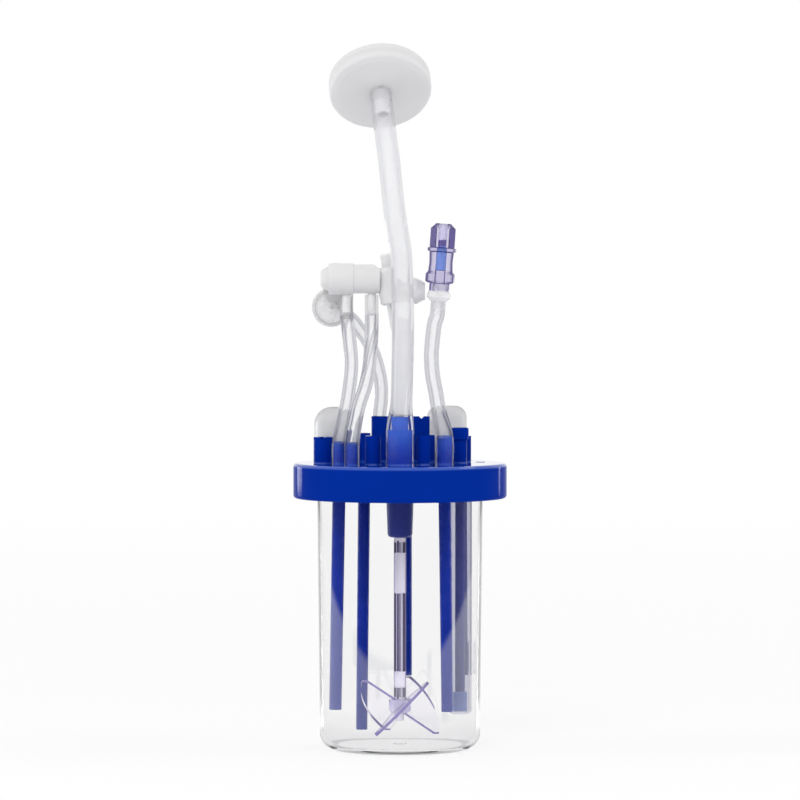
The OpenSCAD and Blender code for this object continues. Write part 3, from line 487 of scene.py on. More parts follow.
def solid_plastic(
    name,
    colour,
    gloss,
    shade=0.12,
    scale=300.0,
    depth=1.5e-5,
    subsurface=0.0,
    gleam=0.12,
    ior=1.5,
):
    """An opaque moulded plastic with slight variation of colour and gloss."""
    material, tree, out = new_material(name)
    shader = moulded(tree, scale, gloss, depth, ior, gleam)
    cloud = noise(tree, object_place(tree), 60.0, 2.0)
    darker = [c * (1 - shade) for c in colour]
    lighter = [min(1, c * (1 + shade)) for c in colour]
    feed(tree, shader.inputs["Base Color"], blended(tree, cloud, darker, lighter))
    if subsurface:
        shader.inputs["Subsurface Weight"].default_value = subsurface
        shader.inputs["Subsurface Radius"].default_value = (1.0, 1.0, 1.0)
        shader.inputs["Subsurface Scale"].default_value = 0.002
    feed(tree, out.inputs["Surface"], shader.outputs[0])
    return material


def clear_plastic(
    name,
    tint,
    edge_tint_and_painted_shade,
    edge,
    ior,
    gloss=(0.02, 0.05),
    scale=120.0,
    depth=0.0,
    shadow=0.9,
    milk=0.0,
    gleam=0.1,
    body=None,
    where=None,
    glare=None,
):
    """A clear plastic with a tint and painted shade along its edges, which lets lamp light
    through.

    edge: how far a surface turns away where the edge tint and painted shade start and where
    they are full
    shadow: share of the lamps' light that passes
    milk: share of light that the plastic scatters
    body: colour and density that it takes on with depth
    where, glare: functions that give a mask for the edge tint and painted shade, and for a
    bright glare
    """
    material, tree, out = new_material(name)
    shader = moulded(tree, scale, gloss, depth, ior, gleam)
    shader.inputs["Transmission Weight"].default_value = 1.0 - milk
    away = turned_away(tree)
    along = ramp(tree, away, *edge)
    if where:
        along = number(tree, "MULTIPLY", along, where(tree))
    if glare:
        feed(tree, shader.inputs["Coat Weight"], glare(tree, away))
        shader.inputs["Coat IOR"].default_value = 1.7
        shader.inputs["Coat Roughness"].default_value = 0.03
    # Painted shade: where the surface turns away from the viewer, the base colour goes to the
    # edge tint, standing in for the dark refraction and reflection along clear edges
    feed(tree, shader.inputs["Base Color"], blended(tree, along, tint, edge_tint_and_painted_shade))
    path = tree.nodes.new("ShaderNodeLightPath")
    through = tree.nodes.new("ShaderNodeBsdfTransparent")
    through.inputs["Color"].default_value = (shadow, shadow, shadow, 1)
    lamps = mixed(
        tree, path.outputs["Is Shadow Ray"], shader.outputs[0], through.outputs[0]
    )
    feed(tree, out.inputs["Surface"], lamps)
    if body:
        depth_tint = tree.nodes.new("ShaderNodeVolumeAbsorption")
        depth_tint.inputs["Color"].default_value = (*body[0], 1)
        depth_tint.inputs["Density"].default_value = body[1]
        feed(tree, out.inputs["Volume"], depth_tint.outputs[0])
    return material


def tint_where(material, mask, colour):
    """Blends a colour into a material's base colour where a mask says so."""
    tree = material.node_tree
    base = principled(tree).inputs["Base Color"]
    feed(tree, base, blended(tree, mask, base.links[0].from_socket, colour))


def dress(material, *names):
    """Gives carried-over parts a finish."""
    for name in names:
        for material_slot in NODES[name].material_slots:
            material_slot.material = material


# ---- Mesh helpers
def keep(bm, name, materials, body, slot, *nodes):
    """Makes a finished piece from a bmesh: it rides on a body and stands for CAD nodes."""
    bmesh.ops.recalc_face_normals(bm, faces=bm.faces)
    for face in bm.faces:
        face.smooth = True
    for edge in bm.edges:
        edge.smooth = edge.is_manifold and edge.calc_face_angle() < SHARP
    mesh = bpy.data.meshes.new(name)
    bm.to_mesh(mesh)
    bm.free()
    for material in materials:
        mesh.materials.append(material)
    piece = bpy.data.objects.new(name, mesh)
    bpy.context.scene.collection.objects.link(piece)
    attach(piece, body)
    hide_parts(*nodes)


def merged_copy(name):
    """A bmesh of a CAD node's mesh with its doubled points merged."""
    bm = bmesh.new()
    bm.from_mesh(NODES[name].data)
    bmesh.ops.remove_doubles(bm, verts=bm.verts, dist=SAME)
    return bm


def spun(profile, steps, place=(0, 0, 0)):
    """A bmesh turned about an upright axis from (radius, height) points in millimetres."""
    bm = bmesh.new()
    points = [bm.verts.new((r * MM, 0, z * MM)) for r, z in profile]
    edges = [bm.edges.new(pair) for pair in zip(points, points[1:])]
    bmesh.ops.spin(
        bm,
        geom=points + edges,
        axis=(0, 0, 1),
        cent=(0, 0, 0),
        steps=steps,
        angle=math.tau,
        use_merge=True,
        use_duplicate=False,
    )
    bmesh.ops.remove_doubles(bm, verts=bm.verts, dist=SAME)
    bmesh.ops.translate(bm, verts=bm.verts, vec=place)
    return bm


def arc(centre, radius, start, end, steps=16):
    """Points of an arc in a profile, in degrees."""
    turns = [math.radians(start + (end - start) * i / steps) for i in range(steps + 1)]
    return [
        (centre[0] + radius * math.cos(t), centre[1] + radius * math.sin(t))
        for t in turns
    ]


# ---- Hoses: [x, y, z, outer radius, inner radius] in millimetres, from the port upwards
ROUTES = {
    "exhaust_hose": [
        [0, -19, 114.9, 5.6, 4.7],
        [0, -19, 127.7, 5.6, 4.7],
        [0.6, -19, 140.99, 4.4, 3],
        [1.11, -19, 160, 4.4, 3],
        [1.15, -19, 176.06, 4.4, 3],
        [0.71, -18.9, 191.09, 4.4, 3],
        [0.21, -18.6, 200.08, 4.4, 3],
        [-1.71, -17.39, 212.17, 4.4, 3],
        [-3.07, -14.98, 223.52, 4.4, 3],
        [-4.32, -10.97, 235.6, 4.4, 3],
        [-5.97, -5.44, 247.98, 4.4, 3],
        [-7.36, 3.3, 259.47, 4.4, 3],
        [-7.66, 6.13, 262.28, 4.4, 3],
    ],
    "harvest_hose": [
        [-24.28, -9.03, 114.9, 2.85, 2.05],
        [-24.28, -9.03, 122.8, 2.85, 2.05],
        [-22.17, -8.4, 133.74, 2.75, 1.6],
        [-20.47, -8.09, 143.17, 2.75, 1.6],
        [-19.31, -7.74, 153.93, 2.75, 1.6],
        [-20, -7.22, 163.36, 2.75, 1.6],
        [-21.4, -6.8, 175.2, 2.75, 1.6],
        [-21.4, -6.8, 182.2, 2.75, 1.6],
    ],
    "overlay_hose": [
        [-18.94, -17.66, 114.9, 2.85, 2.05],
        [-18.94, -17.66, 122.8, 2.85, 2.05],
        [-17.51, -16.8, 132.6, 2.75, 1.6],
        [-16, -16.35, 139.2, 2.75, 1.6],
        [-13.8, -15.56, 145.79, 2.75, 1.6],
        [-12.3, -13.95, 153.19, 2.75, 1.6],
        [-11.69, -12.07, 160.19, 2.75, 1.6],
        [-11.3, -10.05, 167.19, 2.75, 1.6],
        [-11.3, -6.8, 175.2, 2.75, 1.6],
        [-11.3, -6.8, 182.2, 2.75, 1.6],
    ],
    "inlet_hose": [
        [-8.21, 17.13, 124.9, 2.75, 1.6],
        [-8.21, 17.13, 132.9, 2.75, 1.6],
        [-7.5, 17.13, 140.04, 2.75, 1.6],
        [-7.71, 16.82, 146.82, 2.75, 1.6],
        [-9.31, 16.51, 154.13, 2.75, 1.6],
        [-11.03, 16.14, 159.09, 2.75, 1.6],
        [-13.12, 15.93, 163.53, 2.75, 1.6],
        [-15.88, 15.93, 167.44, 2.75, 1.6],
        [-19.38, 16.14, 171.88, 2.75, 1.6],
        [-24.2, 14.2, 175.5, 2.75, 1.6],
        [-27.2, 10.8, 177, 2.75, 1.6],
        [-27.4, 4.8, 177.1, 2.75, 1.6],
    ],
    "feed_hose": [
        [2.41, 12.98, 114.9, 2.85, 2.05],
        [2.41, 12.98, 122.8, 2.85, 2.05],
        [1.55, 9.44, 137.16, 2.75, 1.6],
        [1.2, 5.09, 147.97, 2.75, 1.6],
        [0.4, -0.27, 159.42, 2.75, 1.6],
        [-0.4, -2.98, 166.42, 2.75, 1.6],
        [-1.38, -6.8, 171.61, 2.75, 1.6],
        [-2.6, -6.8, 178.5, 2.75, 1.6],
    ],
    "sampling_hose": [
        [17.76, -12.12, 114.9, 3.6, 2.8],
        [17.76, -12.12, 125.3, 3.6, 2.8],
        [15.39, -12.12, 136.19, 3, 1.6],
        [14.3, -12.12, 143.1, 3, 1.6],
        [13.02, -12.12, 149.89, 3, 1.6],
        [12.48, -12.12, 156.83, 3, 1.6],
        [12.84, -12.12, 163.58, 3, 1.6],
        [13.69, -12.12, 170.53, 3, 1.6],
        [14.84, -12.12, 174.32, 3, 1.6],
        [15.22, -12.12, 179.81, 3, 1.6],
    ],
}

# Heights of the hoses' feet on their ports, in millimetres; elsewhere the second point's height
FOOT_TOPS = {"exhaust_hose": 134.5}
# Milky hoses, and lengths of the milky upper ends that are stretched over a nipple
MILKY = ("exhaust_hose", "feed_hose")
TIGHT_ENDS = {"harvest_hose": 8.5, "overlay_hose": 8.5}


def smooth_route(points, steps):
    """A smooth run of (place, outer radius, inner radius) through points, in metres."""
    run = []
    last = len(points) - 1
    for i in range(last):
        a, b, c, d = (points[min(max(k, 0), last)] for k in range(i - 1, i + 3))
        for k in range(steps):
            t = k / steps
            ease = 3 * t * t - 2 * t**3
            place = [
                0.5
                * (
                    2 * b[n]
                    + (c[n] - a[n]) * t
                    + (2 * a[n] - 5 * b[n] + 4 * c[n] - d[n]) * t * t
                    + (3 * b[n] - a[n] - 3 * c[n] + d[n]) * t**3
                )
                for n in range(3)
            ]
            run.append(place + [b[n] + (c[n] - b[n]) * ease for n in (3, 4)])
    run.append(points[-1])
    return [(Vector(p[:3]) * MM, p[3] * MM, p[4] * MM) for p in run]


def swept_skin(name, run, which, sides):
    """The mesh of one skin of a hose, swept by a curve whose radius changes along it."""
    curve = bpy.data.curves.new(name, "CURVE")
    curve.dimensions = "3D"
    curve.bevel_depth = 1.0
    curve.bevel_resolution = max(0, sides // 2 - 2)
    curve.use_fill_caps = False
    spline = curve.splines.new("POLY")
    spline.points.add(len(run) - 1)
    for point, step in zip(spline.points, run):
        point.co = (*step[0], 1)
        point.radius = step[which]
    maker = bpy.data.objects.new(name, curve)
    bpy.context.scene.collection.objects.link(maker)
    graph = bpy.context.evaluated_depsgraph_get()
    mesh = bpy.data.meshes.new_from_object(maker.evaluated_get(graph))
    bpy.data.objects.remove(maker)
    bpy.data.curves.remove(curve)
    return mesh


def hose_bmesh(name, steps, sides):
    """An open-ended hose with a wall: outer and inner skin, joined at both ends."""
    run = smooth_route(ROUTES[name], steps)
    bm = bmesh.new()
    for which in (1, 2):
        skin = swept_skin(name, run, which, sides)
        bm.from_mesh(skin)
        bpy.data.meshes.remove(skin)
    bmesh.ops.remove_doubles(bm, verts=bm.verts, dist=SAME)
    foot, top = run[0][0], run[-1][0]
    rims = ([], [])
    for edge in bm.edges:
        if edge.is_boundary:
            middle = (edge.verts[0].co + edge.verts[1].co) / 2
            at_top = (middle - foot).length > (middle - top).length
            rims[at_top].append(edge)
    for rim in rims:
        bmesh.ops.bridge_loops(bm, edges=rim)
    return bm


# ---- Operators
class BIOREACTOR_OT_hoses(bpy.types.Operator):
    """Make the six clear hoses"""

    bl_idname = "bioreactor.hoses"
    bl_label = "Hoses"

    def execute(self, context):
        size = context.scene.bioreactor_hoses
        clear, soft, foot = (
            clear_plastic(
                name,
                tint,
                edge_tint_and_painted_shade,
                edge=(0.04, 0.3),
                ior=1.07,
                gloss=(size.roughness * 0.7, size.roughness * 1.3),
                scale=90.0,
                depth=6e-5,
                shadow=0.98,
                milk=milk,
                body=((0.0, 0.0, 0.08), density),
            )
            for name, tint, edge_tint_and_painted_shade, density, milk in (
                ("clear_silicone", size.tint, size.edge_tint_and_painted_shade, 32.0, 0.08),
                ("soft_silicone", size.soft_tint, size.soft_edge_painted_shade, 20.0, 0.22),
                ("foot_silicone", size.foot_tint, size.foot_tint, 26.0, 0.02),
            )
        )
        for name, route in ROUTES.items():
            bm = hose_bmesh(name, size.steps, size.sides)
            foot_top = FOOT_TOPS.get(name, route[1][2]) * MM
            end, tight = Vector(route[-1][:3]) * MM, TIGHT_ENDS.get(name, 0) * MM
            for face in bm.faces:
                middle = face.calc_center_median()
                if middle.z < foot_top:
                    face.material_index = 1
                elif (middle - end).length < tight:
                    face.material_index = 2
            grades = [soft if name in MILKY else clear, foot, soft]
            keep(bm, "clear_" + name, grades, "reactor", "hose_clear", name)
        return {"FINISHED"}


class BIOREACTOR_OT_vessel(bpy.types.Operator):
    """Give the vessel, its seal and the sensor's sleeve their finish"""

    bl_idname = "bioreactor.vessel"
    bl_label = "Vessel"

    def execute(self, context):
        look = context.scene.bioreactor_vessel
        # Sizes of the vessel, its lip in the plate's skirt and its gate mark, in millimetres
        base_r, top_r, height, corner = 32.1, 33.3, 109.7, 7.0
        wall_t, floor_t = 1.5, 1.8
        lip_r, lip_low, lip_high = 36.0, 103.3, 105.7
        gate_r, gate_z = 3.0, 2.3
        slope = (top_r - base_r) / (height - corner)

        def outside(tree):
            """The wall's outer face, from its rounded base up."""
            level, radius = height_and_radius(tree)
            upright = number(tree, "MULTIPLY_ADD", level, -slope, radius)
            middle = (base_r - slope * corner - wall_t / 2) * MM
            return band(
                tree,
                (upright, middle - 2e-4, middle + 2e-4),
                (level, 0.012, 0.022),
            )

        def table_glare(tree, away):
            """The glare of a white table low on the wall, lower along its edges."""
            level, _ = height_and_radius(tree)
            leaned = number(tree, "MULTIPLY_ADD", away, -0.08, level)
            return band(tree, (leaned, 0.034, 0.028), (level, 0.007, 0.011))

        # The wall takes painted shade along the edges of its outer face
        wall = clear_plastic(
            "clear_vessel",
            look.tint,
            look.edge_tint_and_painted_shade,
            edge=(0.67, 0.79),
            ior=1.08,
            gloss=(0.0, 0.02),
            scale=25.0,
            body=((0.0, 0.0, 0.0), 16.0),
            where=outside,
            glare=table_glare,
        )
        # Heights below which the base and its ring take painted shade, the ring's as a contact
        # shadow, and the ring's inner radius
        base_top, contact_shadow_top, contact_shadow_r = (0.013, 0.009), (0.0014, 0.0007), (0.0245, 0.026)
        tree = wall.node_tree
        level, radius = height_and_radius(tree)
        ring = band(tree, (level, *contact_shadow_top), (radius, *contact_shadow_r))
        # Painted shade over the thick base, for the light bent through it
        tint_where(wall, ramp(tree, level, *base_top), look.base_painted_shade)
        # Painted contact shadow on the ring that the vessel stands on
        tint_where(wall, ring, look.foot_tint)

        def side(z):
            """The outer radius at a height."""
            return base_r + slope * (z - corner)

        middle, inner = base_r - corner, corner - wall_t
        profile = (
            [(0, 0)]
            + arc((middle, corner), corner, -90, 0)
            + [(side(lip_low), lip_low), (lip_r, lip_low), (lip_r, lip_high)]
            + [(side(lip_high), lip_high), (top_r, height), (top_r - wall_t, height)]
            + arc((middle, floor_t + inner), inner, 0, -90)
            + [(gate_r, floor_t), (gate_r - 0.3, gate_z), (0, gate_z)]
        )
        keep(spun(profile, 192), "vessel_shell", [wall], "reactor", "clear_plastic", "vessel")
        # The sleeve's edge tint is painted shade along its edges
        sleeve = clear_plastic(
            "clear_sleeve",
            look.sleeve_tint,
            look.sleeve_edge_painted_shade,
            edge=(0.25, 0.8),
            ior=1.08,
            scale=60.0,
            milk=0.03,
        )
        dress(sleeve, "sensor_sleeve")
        seal = solid_plastic("seal_rubber", (0.6, 0.6, 0.6), gloss=(0.5, 0.6))
        dress(seal, "vessel_seal")
        return {"FINISHED"}


class BIOREACTOR_OT_head_plate(bpy.types.Operator):
    """Give the head plate and the sensor port's cap their finish"""

    bl_idname = "bioreactor.head_plate"
    bl_label = "Head plate"

    def execute(self, context):
        look = context.scene.bioreactor_colours
        plate = solid_plastic(
            "plate_gloss",
            look.plate,
            gloss=(0.04, 0.09),
            shade=0.08,
            scale=120.0,
            depth=6e-6,
            ior=1.045,
        )
        tree = plate.node_tree
        level, _ = height_and_radius(tree)
        # The flat deck and its rounded rim shine more than the sides and the ports, and take a
        # lighter blue as a painted sheen
        rim_low = (DECK_Z - 0.0016, DECK_Z - 0.0008)
        ports_low = (DECK_Z + 0.0006, DECK_Z + 0.0001)
        shine = band(tree, (level, *rim_low), (level, *ports_low))
        shader = principled(tree)
        feed(tree, shader.inputs["Coat Weight"], shine)
        shader.inputs["Coat Roughness"].default_value = 0.05
        # Painted sheen: the lighter blue of the deck and its rim
        tint_where(plate, shine, look.deck)
        # The ports under the clear hoses are lit through them, more so higher up
        flat = flat_place(tree)
        lit = ramp(tree, level, DECK_Z + 0.0005, DECK_Z + 0.02)
        under = None
        for name in ("exhaust_hose", "harvest_hose", "overlay_hose", "sampling_hose"):
            x, y, _, _, bore = ROUTES[name][0]
            away = vector(tree, "DISTANCE", flat, (x * MM, y * MM, 0))
            near = ramp(tree, away, (bore + 0.3) * MM, (bore + 0.1) * MM)
            under = number(tree, "MAXIMUM", under, near) if under else near
        tint_where(plate, number(tree, "MULTIPLY", under, lit), look.barb)
        dress(plate, "head_plate", "sensor_port_cap")
        return {"FINISHED"}


class BIOREACTOR_OT_dip_tubes(bpy.types.Operator):
    """Give the dip tubes, the thermowell and the sensor their finish"""

    bl_idname = "bioreactor.dip_tubes"
    bl_label = "Dip tubes"

    def execute(self, context):
        look = context.scene.bioreactor_colours
        tube = solid_plastic(
            "tube_satin",
            look.tube,
            gloss=(0.2, 0.32),
            shade=0.2,
            scale=200.0,
            depth=1e-5,
        )
        dress(
            tube,
            "harvest_tube",
            "long_dip_tube",
            "feed_tube",
            "sampling_tube",
            "thermowell",
            "sensor_core",
        )
        sensor = solid_plastic("sensor_face", (0.12, 0.2, 0.54), gloss=(0.3, 0.4))
        dress(sensor, "sensor_tip")
        return {"FINISHED"}


class BIOREACTOR_OT_stirrer(bpy.types.Operator):
    """Give the stirrer, its hub and its magnetic drive their finish"""

    bl_idname = "bioreactor.stirrer"
    bl_label = "Stirrer"

    def execute(self, context):
        look = context.scene.bioreactor_colours
        hub = solid_plastic("hub_satin", look.hub, gloss=(0.3, 0.4))
        bearing = solid_plastic("bearing_white", (0.8, 0.8, 0.78), gloss=(0.4, 0.5))
        carrier = solid_plastic("carrier_grey", (0.1, 0.1, 0.11), gloss=(0.4, 0.5))
        nickel = solid_plastic("magnet_nickel", (0.6, 0.59, 0.57), gloss=(0.15, 0.3))
        principled(nickel.node_tree).inputs["Metallic"].default_value = 1.0
        dress(hub, "bearing_hub")
        dress(bearing, "upper_bearing", "lower_bearing")
        dress(carrier, "magnet_carrier")
        dress(nickel, "coupling_magnets")
        self.shaft(look)
        self.impeller(look)
        return {"FINISHED"}

    def shaft(self, look):
        """The finned shaft, with painted shade: the fins darken outwards, with a dark line
        along their ends.
        """
        # First fin's direction in degrees; radii of the fins' ends and of their painted shade
        first_fin, fin_reach, painted_shade_r = -20, 2.4 * MM, (0.0013, 0.0016)
        # Both take painted shade along their edges from the shaft's edge tint
        rod, fins = (
            clear_plastic(
                name,
                look.rod,
                look.rod_edge_painted_shade,
                edge=(0.25, 0.7),
                ior=1.15,
                gloss=(0.1, 0.2),
                scale=80.0,
                milk=0.6,
            )
            for name in ("rod_violet", "fin_violet")
        )
        # Painted shade on the fins' sides near their outer ends
        _, radius = height_and_radius(fins.node_tree)
        tint_where(fins, ramp(fins.node_tree, radius, *painted_shade_r), look.fin_painted_shade)
        # Painted shade: an opaque dark strip along each fin's outer end
        line = solid_plastic("fin_painted_shade_line", look.fin_painted_shade_line, gloss=(0.3, 0.4), shade=0.1)
        bm = merged_copy("shaft")
        bm.normal_update()
        turns = [math.radians(first_fin + 90 * i) for i in range(4)]
        spokes = [Vector((math.cos(turn), math.sin(turn), 0)) for turn in turns]
        ends = []
        for face in bm.faces:
            spoke = max(spokes, key=face.normal.dot)
            if face.normal.dot(spoke) > 0.999:
                reach = face.calc_center_median().dot(spoke)
                if abs(reach - fin_reach) < 0.03 * MM:
                    ends.append(face)
                else:
                    face.material_index = 2
        bmesh.ops.inset_region(
            bm,
            faces=ends,
            thickness=look.fin_border,
            use_even_offset=True,
            use_boundary=True,
        )
        for face in ends:
            face.material_index = 1
        keep(bm, "stirrer_shaft", [rod, line, fins], "rotor", "clear_violet", "shaft")

    def impeller(self, look):
        """The impeller, with finishes of their own for cut edges, hub and curved rims."""
        # Radii of the hub and of the blades' sweep, in metres; directions in degrees
        hub_r, sweep_r = 0.0043, 0.0157
        first_blade, pitch = -86, 45
        blades, rims = (
            clear_plastic(
                name,
                (0.99, 0.98, 1.0),
                edge_tint_and_painted_shade,
                edge=(0.6, 0.95),
                ior=1.1,
                gloss=(0.01, 0.04),
                scale=80.0,
                body=(look.violet, 22.0),
            )
            for name, edge_tint_and_painted_shade in (
                ("clear_violet", look.violet_edge),
                ("rim_violet", (0.86, 0.84, 0.92)),
            )
        )
        # Seen straight on, a blade's rim shows the full length of the violet plastic
        tree = rims.node_tree
        seen = next(n for n in tree.nodes if n.type == "MIX_SHADER").inputs[1]
        clear = seen.links[0].from_socket
        deep = tree.nodes.new("ShaderNodeBsdfPrincipled")
        deep.inputs["Base Color"].default_value = (*look.rim, 1)
        deep.inputs["Roughness"].default_value = 0.3
        along = ramp(tree, turned_away(tree), 0.28, 0.42)
        feed(tree, seen, mixed(tree, along, deep.outputs[0], clear))
        sawn = solid_plastic("violet_edge", look.blade_edge, gloss=(0.3, 0.4), shade=0.1)
        # The hub's edges take the cut edges' colour as painted shade
        hub = clear_plastic(
            "violet_hub",
            look.hub_violet,
            look.blade_edge,
            edge=(0.5, 0.98),
            ior=1.1,
            gloss=(0.25, 0.35),
            milk=0.5,
        )
        bm = merged_copy("impeller")
        flats = [
            Matrix.Rotation(math.radians(first_blade + turn), 3, "Z")
            @ Matrix.Rotation(math.radians(pitch), 3, "X")
            @ Vector((0, 0, 1))
            for turn in (0, 120, 240)
        ]
        for face in bm.faces:
            out = face.calc_center_median().xy.length
            flat = max(abs(face.normal.dot(f)) for f in flats) > 0.99
            if out < hub_r + 1e-4:
                face.material_index = 2
            elif not flat:
                face.material_index = 1 if out < sweep_r - 2e-4 else 3
        finishes = [blades, sawn, hub, rims]
        keep(bm, "stirrer_wheel", finishes, "rotor", "clear_violet", "impeller")


class BIOREACTOR_OT_port_caps(bpy.types.Operator):
    """Give the two domed caps their frosted finish"""

    bl_idname = "bioreactor.port_caps"
    bl_label = "Port caps"

    def execute(self, context):
        frosted = clear_plastic(
            "frosted_cap",
            (0.76, 0.76, 0.765),
            (0.6, 0.6, 0.61),
            edge=(0.4, 0.98),
            ior=1.2,
            gloss=(0.4, 0.5),
            scale=150.0,
            depth=4e-5,
            milk=0.3,
        )
        # In millimetres; an inner sleeve of radius grip and height sleeve_h holds the port
        wall_t, radius, height, grip, sleeve_h = 1.2, 8.0, 22.0, 5.0, 9.0
        for name, rounding in (("left_port_cap", 7.0), ("right_port_cap", 4.6)):
            low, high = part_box(name)
            place = ((low.x + high.x) / 2, (low.y + high.y) / 2, low.z)
            shoulder = (radius - rounding, height - rounding)
            profile = (
                [(grip, 0), (radius, 0)]
                + arc(shoulder, rounding, 0, 90)
                + [(0, height), (0, height - wall_t)]
                + arc(shoulder, rounding - wall_t, 90, 0)
                + [(radius - wall_t, wall_t), (grip + wall_t, wall_t)]
                + [(grip + wall_t, sleeve_h), (grip, sleeve_h), (grip, 0)]
            )
            bm = spun(profile, 72, place)
            keep(bm, name + "_dome", [frosted], "reactor", "cap_frosted", name)
        return {"FINISHED"}


class BIOREACTOR_OT_filters(bpy.types.Operator):
    """Give the disc filters, the manifold and its fittings their finish"""

    bl_idname = "bioreactor.filters"
    bl_label = "Filters and manifold"

    def execute(self, context):
        look = context.scene.bioreactor_colours
        # The exhaust filter's axis, and how far up it the face around the barb lies
        tilt, lean = math.radians(45), math.radians(6)
        axis = Vector(
            (
                -math.sin(lean) * math.cos(tilt),
                math.sin(tilt),
                math.cos(lean) * math.cos(tilt),
            )
        )
        face = axis.dot((-0.0077, 0.00655, 0.2627))
        frosted = solid_plastic(
            "filter_frosted",
            look.frosted,
            gloss=(0.4, 0.55),
            shade=0.04,
            scale=500.0,
            depth=2e-5,
            subsurface=0.3,
        )
        # The barb, which starts just below the face, takes less light inside the hose
        tree = frosted.node_tree
        along = vector(tree, "DOT_PRODUCT", object_place(tree), axis)
        tint_where(frosted, ramp(tree, along, face - 0.0004, face - 0.001), look.inner_barb)
        dress(frosted, "exhaust_filter_base", "exhaust_filter_cover")
        membrane = solid_plastic("membrane_white", (0.85, 0.85, 0.85), gloss=(0.7, 0.8))
        dress(membrane, "exhaust_membrane", "inlet_membrane")
        milky = solid_plastic(
            "milky_fitting",
            (0.7, 0.695, 0.7),
            gloss=(0.25, 0.35),
            shade=0.03,
            scale=200.0,
            depth=1e-5,
            subsurface=0.5,
        )
        dress(
            milky,
            "manifold_body",
            "manifold_end_plug",
            "manifold_tee",
            "tee_plug",
            "branch_cap",
        )
        natural = clear_plastic(
            "natural_fitting",
            (0.87, 0.87, 0.875),
            (0.66, 0.66, 0.69),
            edge=(0.4, 0.98),
            ior=1.25,
            gloss=(0.2, 0.3),
            scale=200.0,
            depth=1e-5,
            milk=0.45,
        )
        dress(natural, "inlet_filter_base", "inlet_filter_cover", "valve_fitting")
        return {"FINISHED"}


class BIOREACTOR_OT_valve(bpy.types.Operator):
    """Give the sampling valve its finish"""

    bl_idname = "bioreactor.valve"
    bl_label = "Sampling valve"

    def execute(self, context):
        look = context.scene.bioreactor_colours
        # The valve's edge tint is painted shade along its edges
        clear = clear_plastic(
            "valve_clear",
            look.valve,
            look.valve_edge_painted_shade,
            edge=(0.22, 0.52),
            ior=1.25,
            gloss=(0.03, 0.06),
            scale=150.0,
            gleam=0.8,
            body=((0.45, 0.4, 0.68), 85.0),
        )
        dress(clear, "valve_body", "valve_cap")
        piston = solid_plastic("piston_blue", look.piston, gloss=(0.12, 0.2), gleam=0.8)
        tree = piston.node_tree
        level, _ = height_and_radius(tree)
        # Heights where the neck and the button start
        neck_low, button_low = (0.201, 0.202), (0.2038, 0.2044)
        tint_where(piston, ramp(tree, level, *neck_low), look.piston_neck)
        tint_where(piston, ramp(tree, level, *button_low), look.button)
        dress(piston, "valve_piston")
        return {"FINISHED"}


def seen_white(tree, shade, strength=1.0):
    """A strength for the camera and for gloss and clear plastic; other rays get the shade."""
    path = tree.nodes.new("ShaderNodeLightPath")
    seen = path.outputs["Is Camera Ray"]
    for ray in ("Is Glossy Ray", "Is Transmission Ray"):
        seen = number(tree, "MAXIMUM", seen, path.outputs[ray])
    return mapped(tree, seen, 0.0, 1.0, shade, strength)


def lamp(name, place, aim, size, power, gloss_only=False):
    """A soft square lamp that looks at a point; one for gloss only lights no dull surface."""
    data = bpy.data.lights.new(name, "AREA")
    data.shape = "RECTANGLE"
    data.size, data.size_y = size
    data.energy = power
    light = bpy.data.objects.new(name, data)
    light.location = place
    light.visible_diffuse = light.visible_transmission = not gloss_only
    towards = Vector(aim) - Vector(place)
    light.rotation_euler = towards.to_track_quat("-Z", "Y").to_euler()
    bpy.context.scene.collection.objects.link(light)


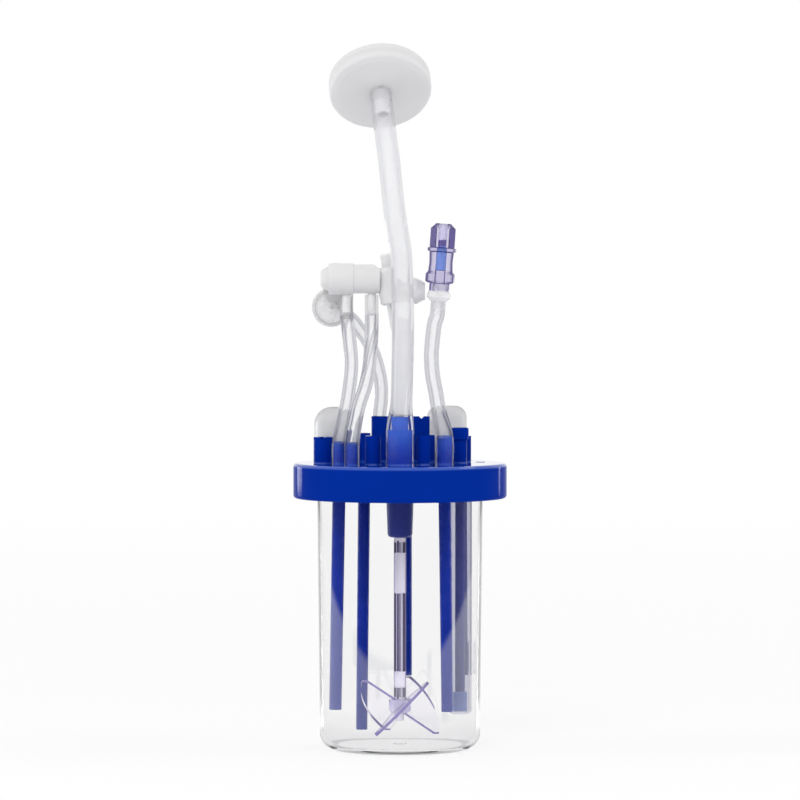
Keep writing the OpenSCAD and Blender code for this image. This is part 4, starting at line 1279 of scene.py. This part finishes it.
class BIOREACTOR_OT_stage(bpy.types.Operator):
    """Set up the floor, the light and the camera"""

    bl_idname = "bioreactor.stage"
    bl_label = "Stage"

    def execute(self, context):
        look, scene = context.scene.bioreactor_stage, context.scene
        scene.view_settings.view_transform = "Standard"
        self.room(scene, look)
        self.floor(scene, look)
        self.lamps(look)
        self.camera(scene, look)
        return {"FINISHED"}

    def room(self, scene, look):
        """A white world that gives even light."""
        world = bpy.data.worlds.new("studio")
        world.use_nodes = True
        tree = world.node_tree
        tree.nodes.clear()
        room = tree.nodes.new("ShaderNodeBackground")
        room.inputs["Color"].default_value = (1, 1, 1, 1)
        feed(tree, room.inputs["Strength"], seen_white(tree, look.room_light))
        out = tree.nodes.new("ShaderNodeOutputWorld")
        feed(tree, out.inputs["Surface"], room.outputs[0])
        scene.world = world

    def floor(self, scene, look):
        """A white floor that glows enough to meet the world without a line."""
        bm = bmesh.new()
        bmesh.ops.create_grid(bm, x_segments=1, y_segments=1, size=6.0)
        mesh = bpy.data.meshes.new("floor")
        bm.to_mesh(mesh)
        bm.free()
        floor = bpy.data.objects.new("floor", mesh)
        scene.collection.objects.link(floor)
        paper, tree, out = new_material("white_paper")
        dull = tree.nodes.new("ShaderNodeBsdfDiffuse")
        dull.inputs["Color"].default_value = (0.25, 0.25, 0.25, 1)
        # The lamps reach less of the far floor, so it glows a little more
        away = vector(tree, "LENGTH", object_place(tree))
        level = mapped(tree, away, 0.3, 2.5, look.floor_glow, look.floor_glow + 0.11)
        glow = tree.nodes.new("ShaderNodeEmission")
        feed(tree, glow.inputs["Strength"], seen_white(tree, 0.8, level))
        both = tree.nodes.new("ShaderNodeAddShader")
        feed(tree, both.inputs[0], dull.outputs[0])
        feed(tree, both.inputs[1], glow.outputs[0])
        feed(tree, out.inputs["Surface"], both.outputs[0])
        mesh.materials.append(paper)

    def lamps(self, look):
        """Three soft lamps, and two strips behind that only glossy walls show."""
        aim = (0, 0, 0.13)
        lamp("key", (-0.35, -1.3, 1.2), aim, (0.45, 0.45), look.key_power)
        lamp("left", (-1.3, -0.2, 1.1), aim, (0.5, 0.5), look.key_power * 0.5)
        lamp("right", (1.3, -0.1, 1.1), aim, (1.0, 0.6), look.key_power * 0.6)
        # Both strips stay below the deck, so that only upright walls show them
        low, power = (0, 0, 0.055), look.strip_power
        lamp("strip_left", (-1.33, 1.49, low[2]), low, (0.5, 0.1), power * 3, True)
        lamp("strip_right", (1.42, 1.42, low[2]), low, (0.14, 0.1), power, True)

    def camera(self, scene, look):
        """A long lens, straight in front."""
        camera = bpy.data.objects.new("camera", bpy.data.cameras.new("camera"))
        camera.data.lens = look.lens
        camera.data.sensor_width = 36.0
        camera.data.clip_start, camera.data.clip_end = 0.1, 50.0
        camera.location = (0, -look.camera_distance, look.camera_height)
        aim = Vector((0, 0, look.aim_height)) - camera.location
        camera.rotation_euler = aim.to_track_quat("-Z", "Y").to_euler()
        scene.collection.objects.link(camera)
        scene.camera = camera


class BIOREACTOR_PT_panel(bpy.types.Panel):
    """Lists the steps that dress the bioreactor"""

    bl_idname = "BIOREACTOR_PT_panel"
    bl_label = "Bench bioreactor"
    bl_space_type = "VIEW_3D"
    bl_region_type = "UI"
    bl_category = "Bioreactor"

    def draw(self, context):
        for step in STEPS:
            self.layout.operator(step.bl_idname)
        for group in GROUPS:
            settings = getattr(context.scene, group)
            box = self.layout.box()
            box.label(text=type(settings).__doc__)
            for key in type(settings).__annotations__:
                box.prop(settings, key)


GROUPS = {
    "bioreactor_stage": BIOREACTOR_PG_stage,
    "bioreactor_vessel": BIOREACTOR_PG_vessel,
    "bioreactor_colours": BIOREACTOR_PG_colours,
    "bioreactor_hoses": BIOREACTOR_PG_hoses,
}
STEPS = (
    BIOREACTOR_OT_stage,
    BIOREACTOR_OT_vessel,
    BIOREACTOR_OT_head_plate,
    BIOREACTOR_OT_dip_tubes,
    BIOREACTOR_OT_stirrer,
    BIOREACTOR_OT_port_caps,
    BIOREACTOR_OT_hoses,
    BIOREACTOR_OT_filters,
    BIOREACTOR_OT_valve,
)


def register():
    for group in GROUPS.values():
        bpy.utils.register_class(group)
    for step in STEPS:
        bpy.utils.register_class(step)
    bpy.utils.register_class(BIOREACTOR_PT_panel)
    for name, group in GROUPS.items():
        setattr(bpy.types.Scene, name, PointerProperty(type=group))


def unregister():
    for name in GROUPS:
        delattr(bpy.types.Scene, name)
    bpy.utils.unregister_class(BIOREACTOR_PT_panel)
    for step in reversed(STEPS):
        bpy.utils.unregister_class(step)
    for group in reversed(GROUPS.values()):
        bpy.utils.unregister_class(group)


def main():
    register()
    for step in STEPS:
        group, name = step.bl_idname.split(".")
        getattr(getattr(bpy.ops, group), name)()
    bpy.context.view_layer.update()


if __name__ == "__main__":
    main()
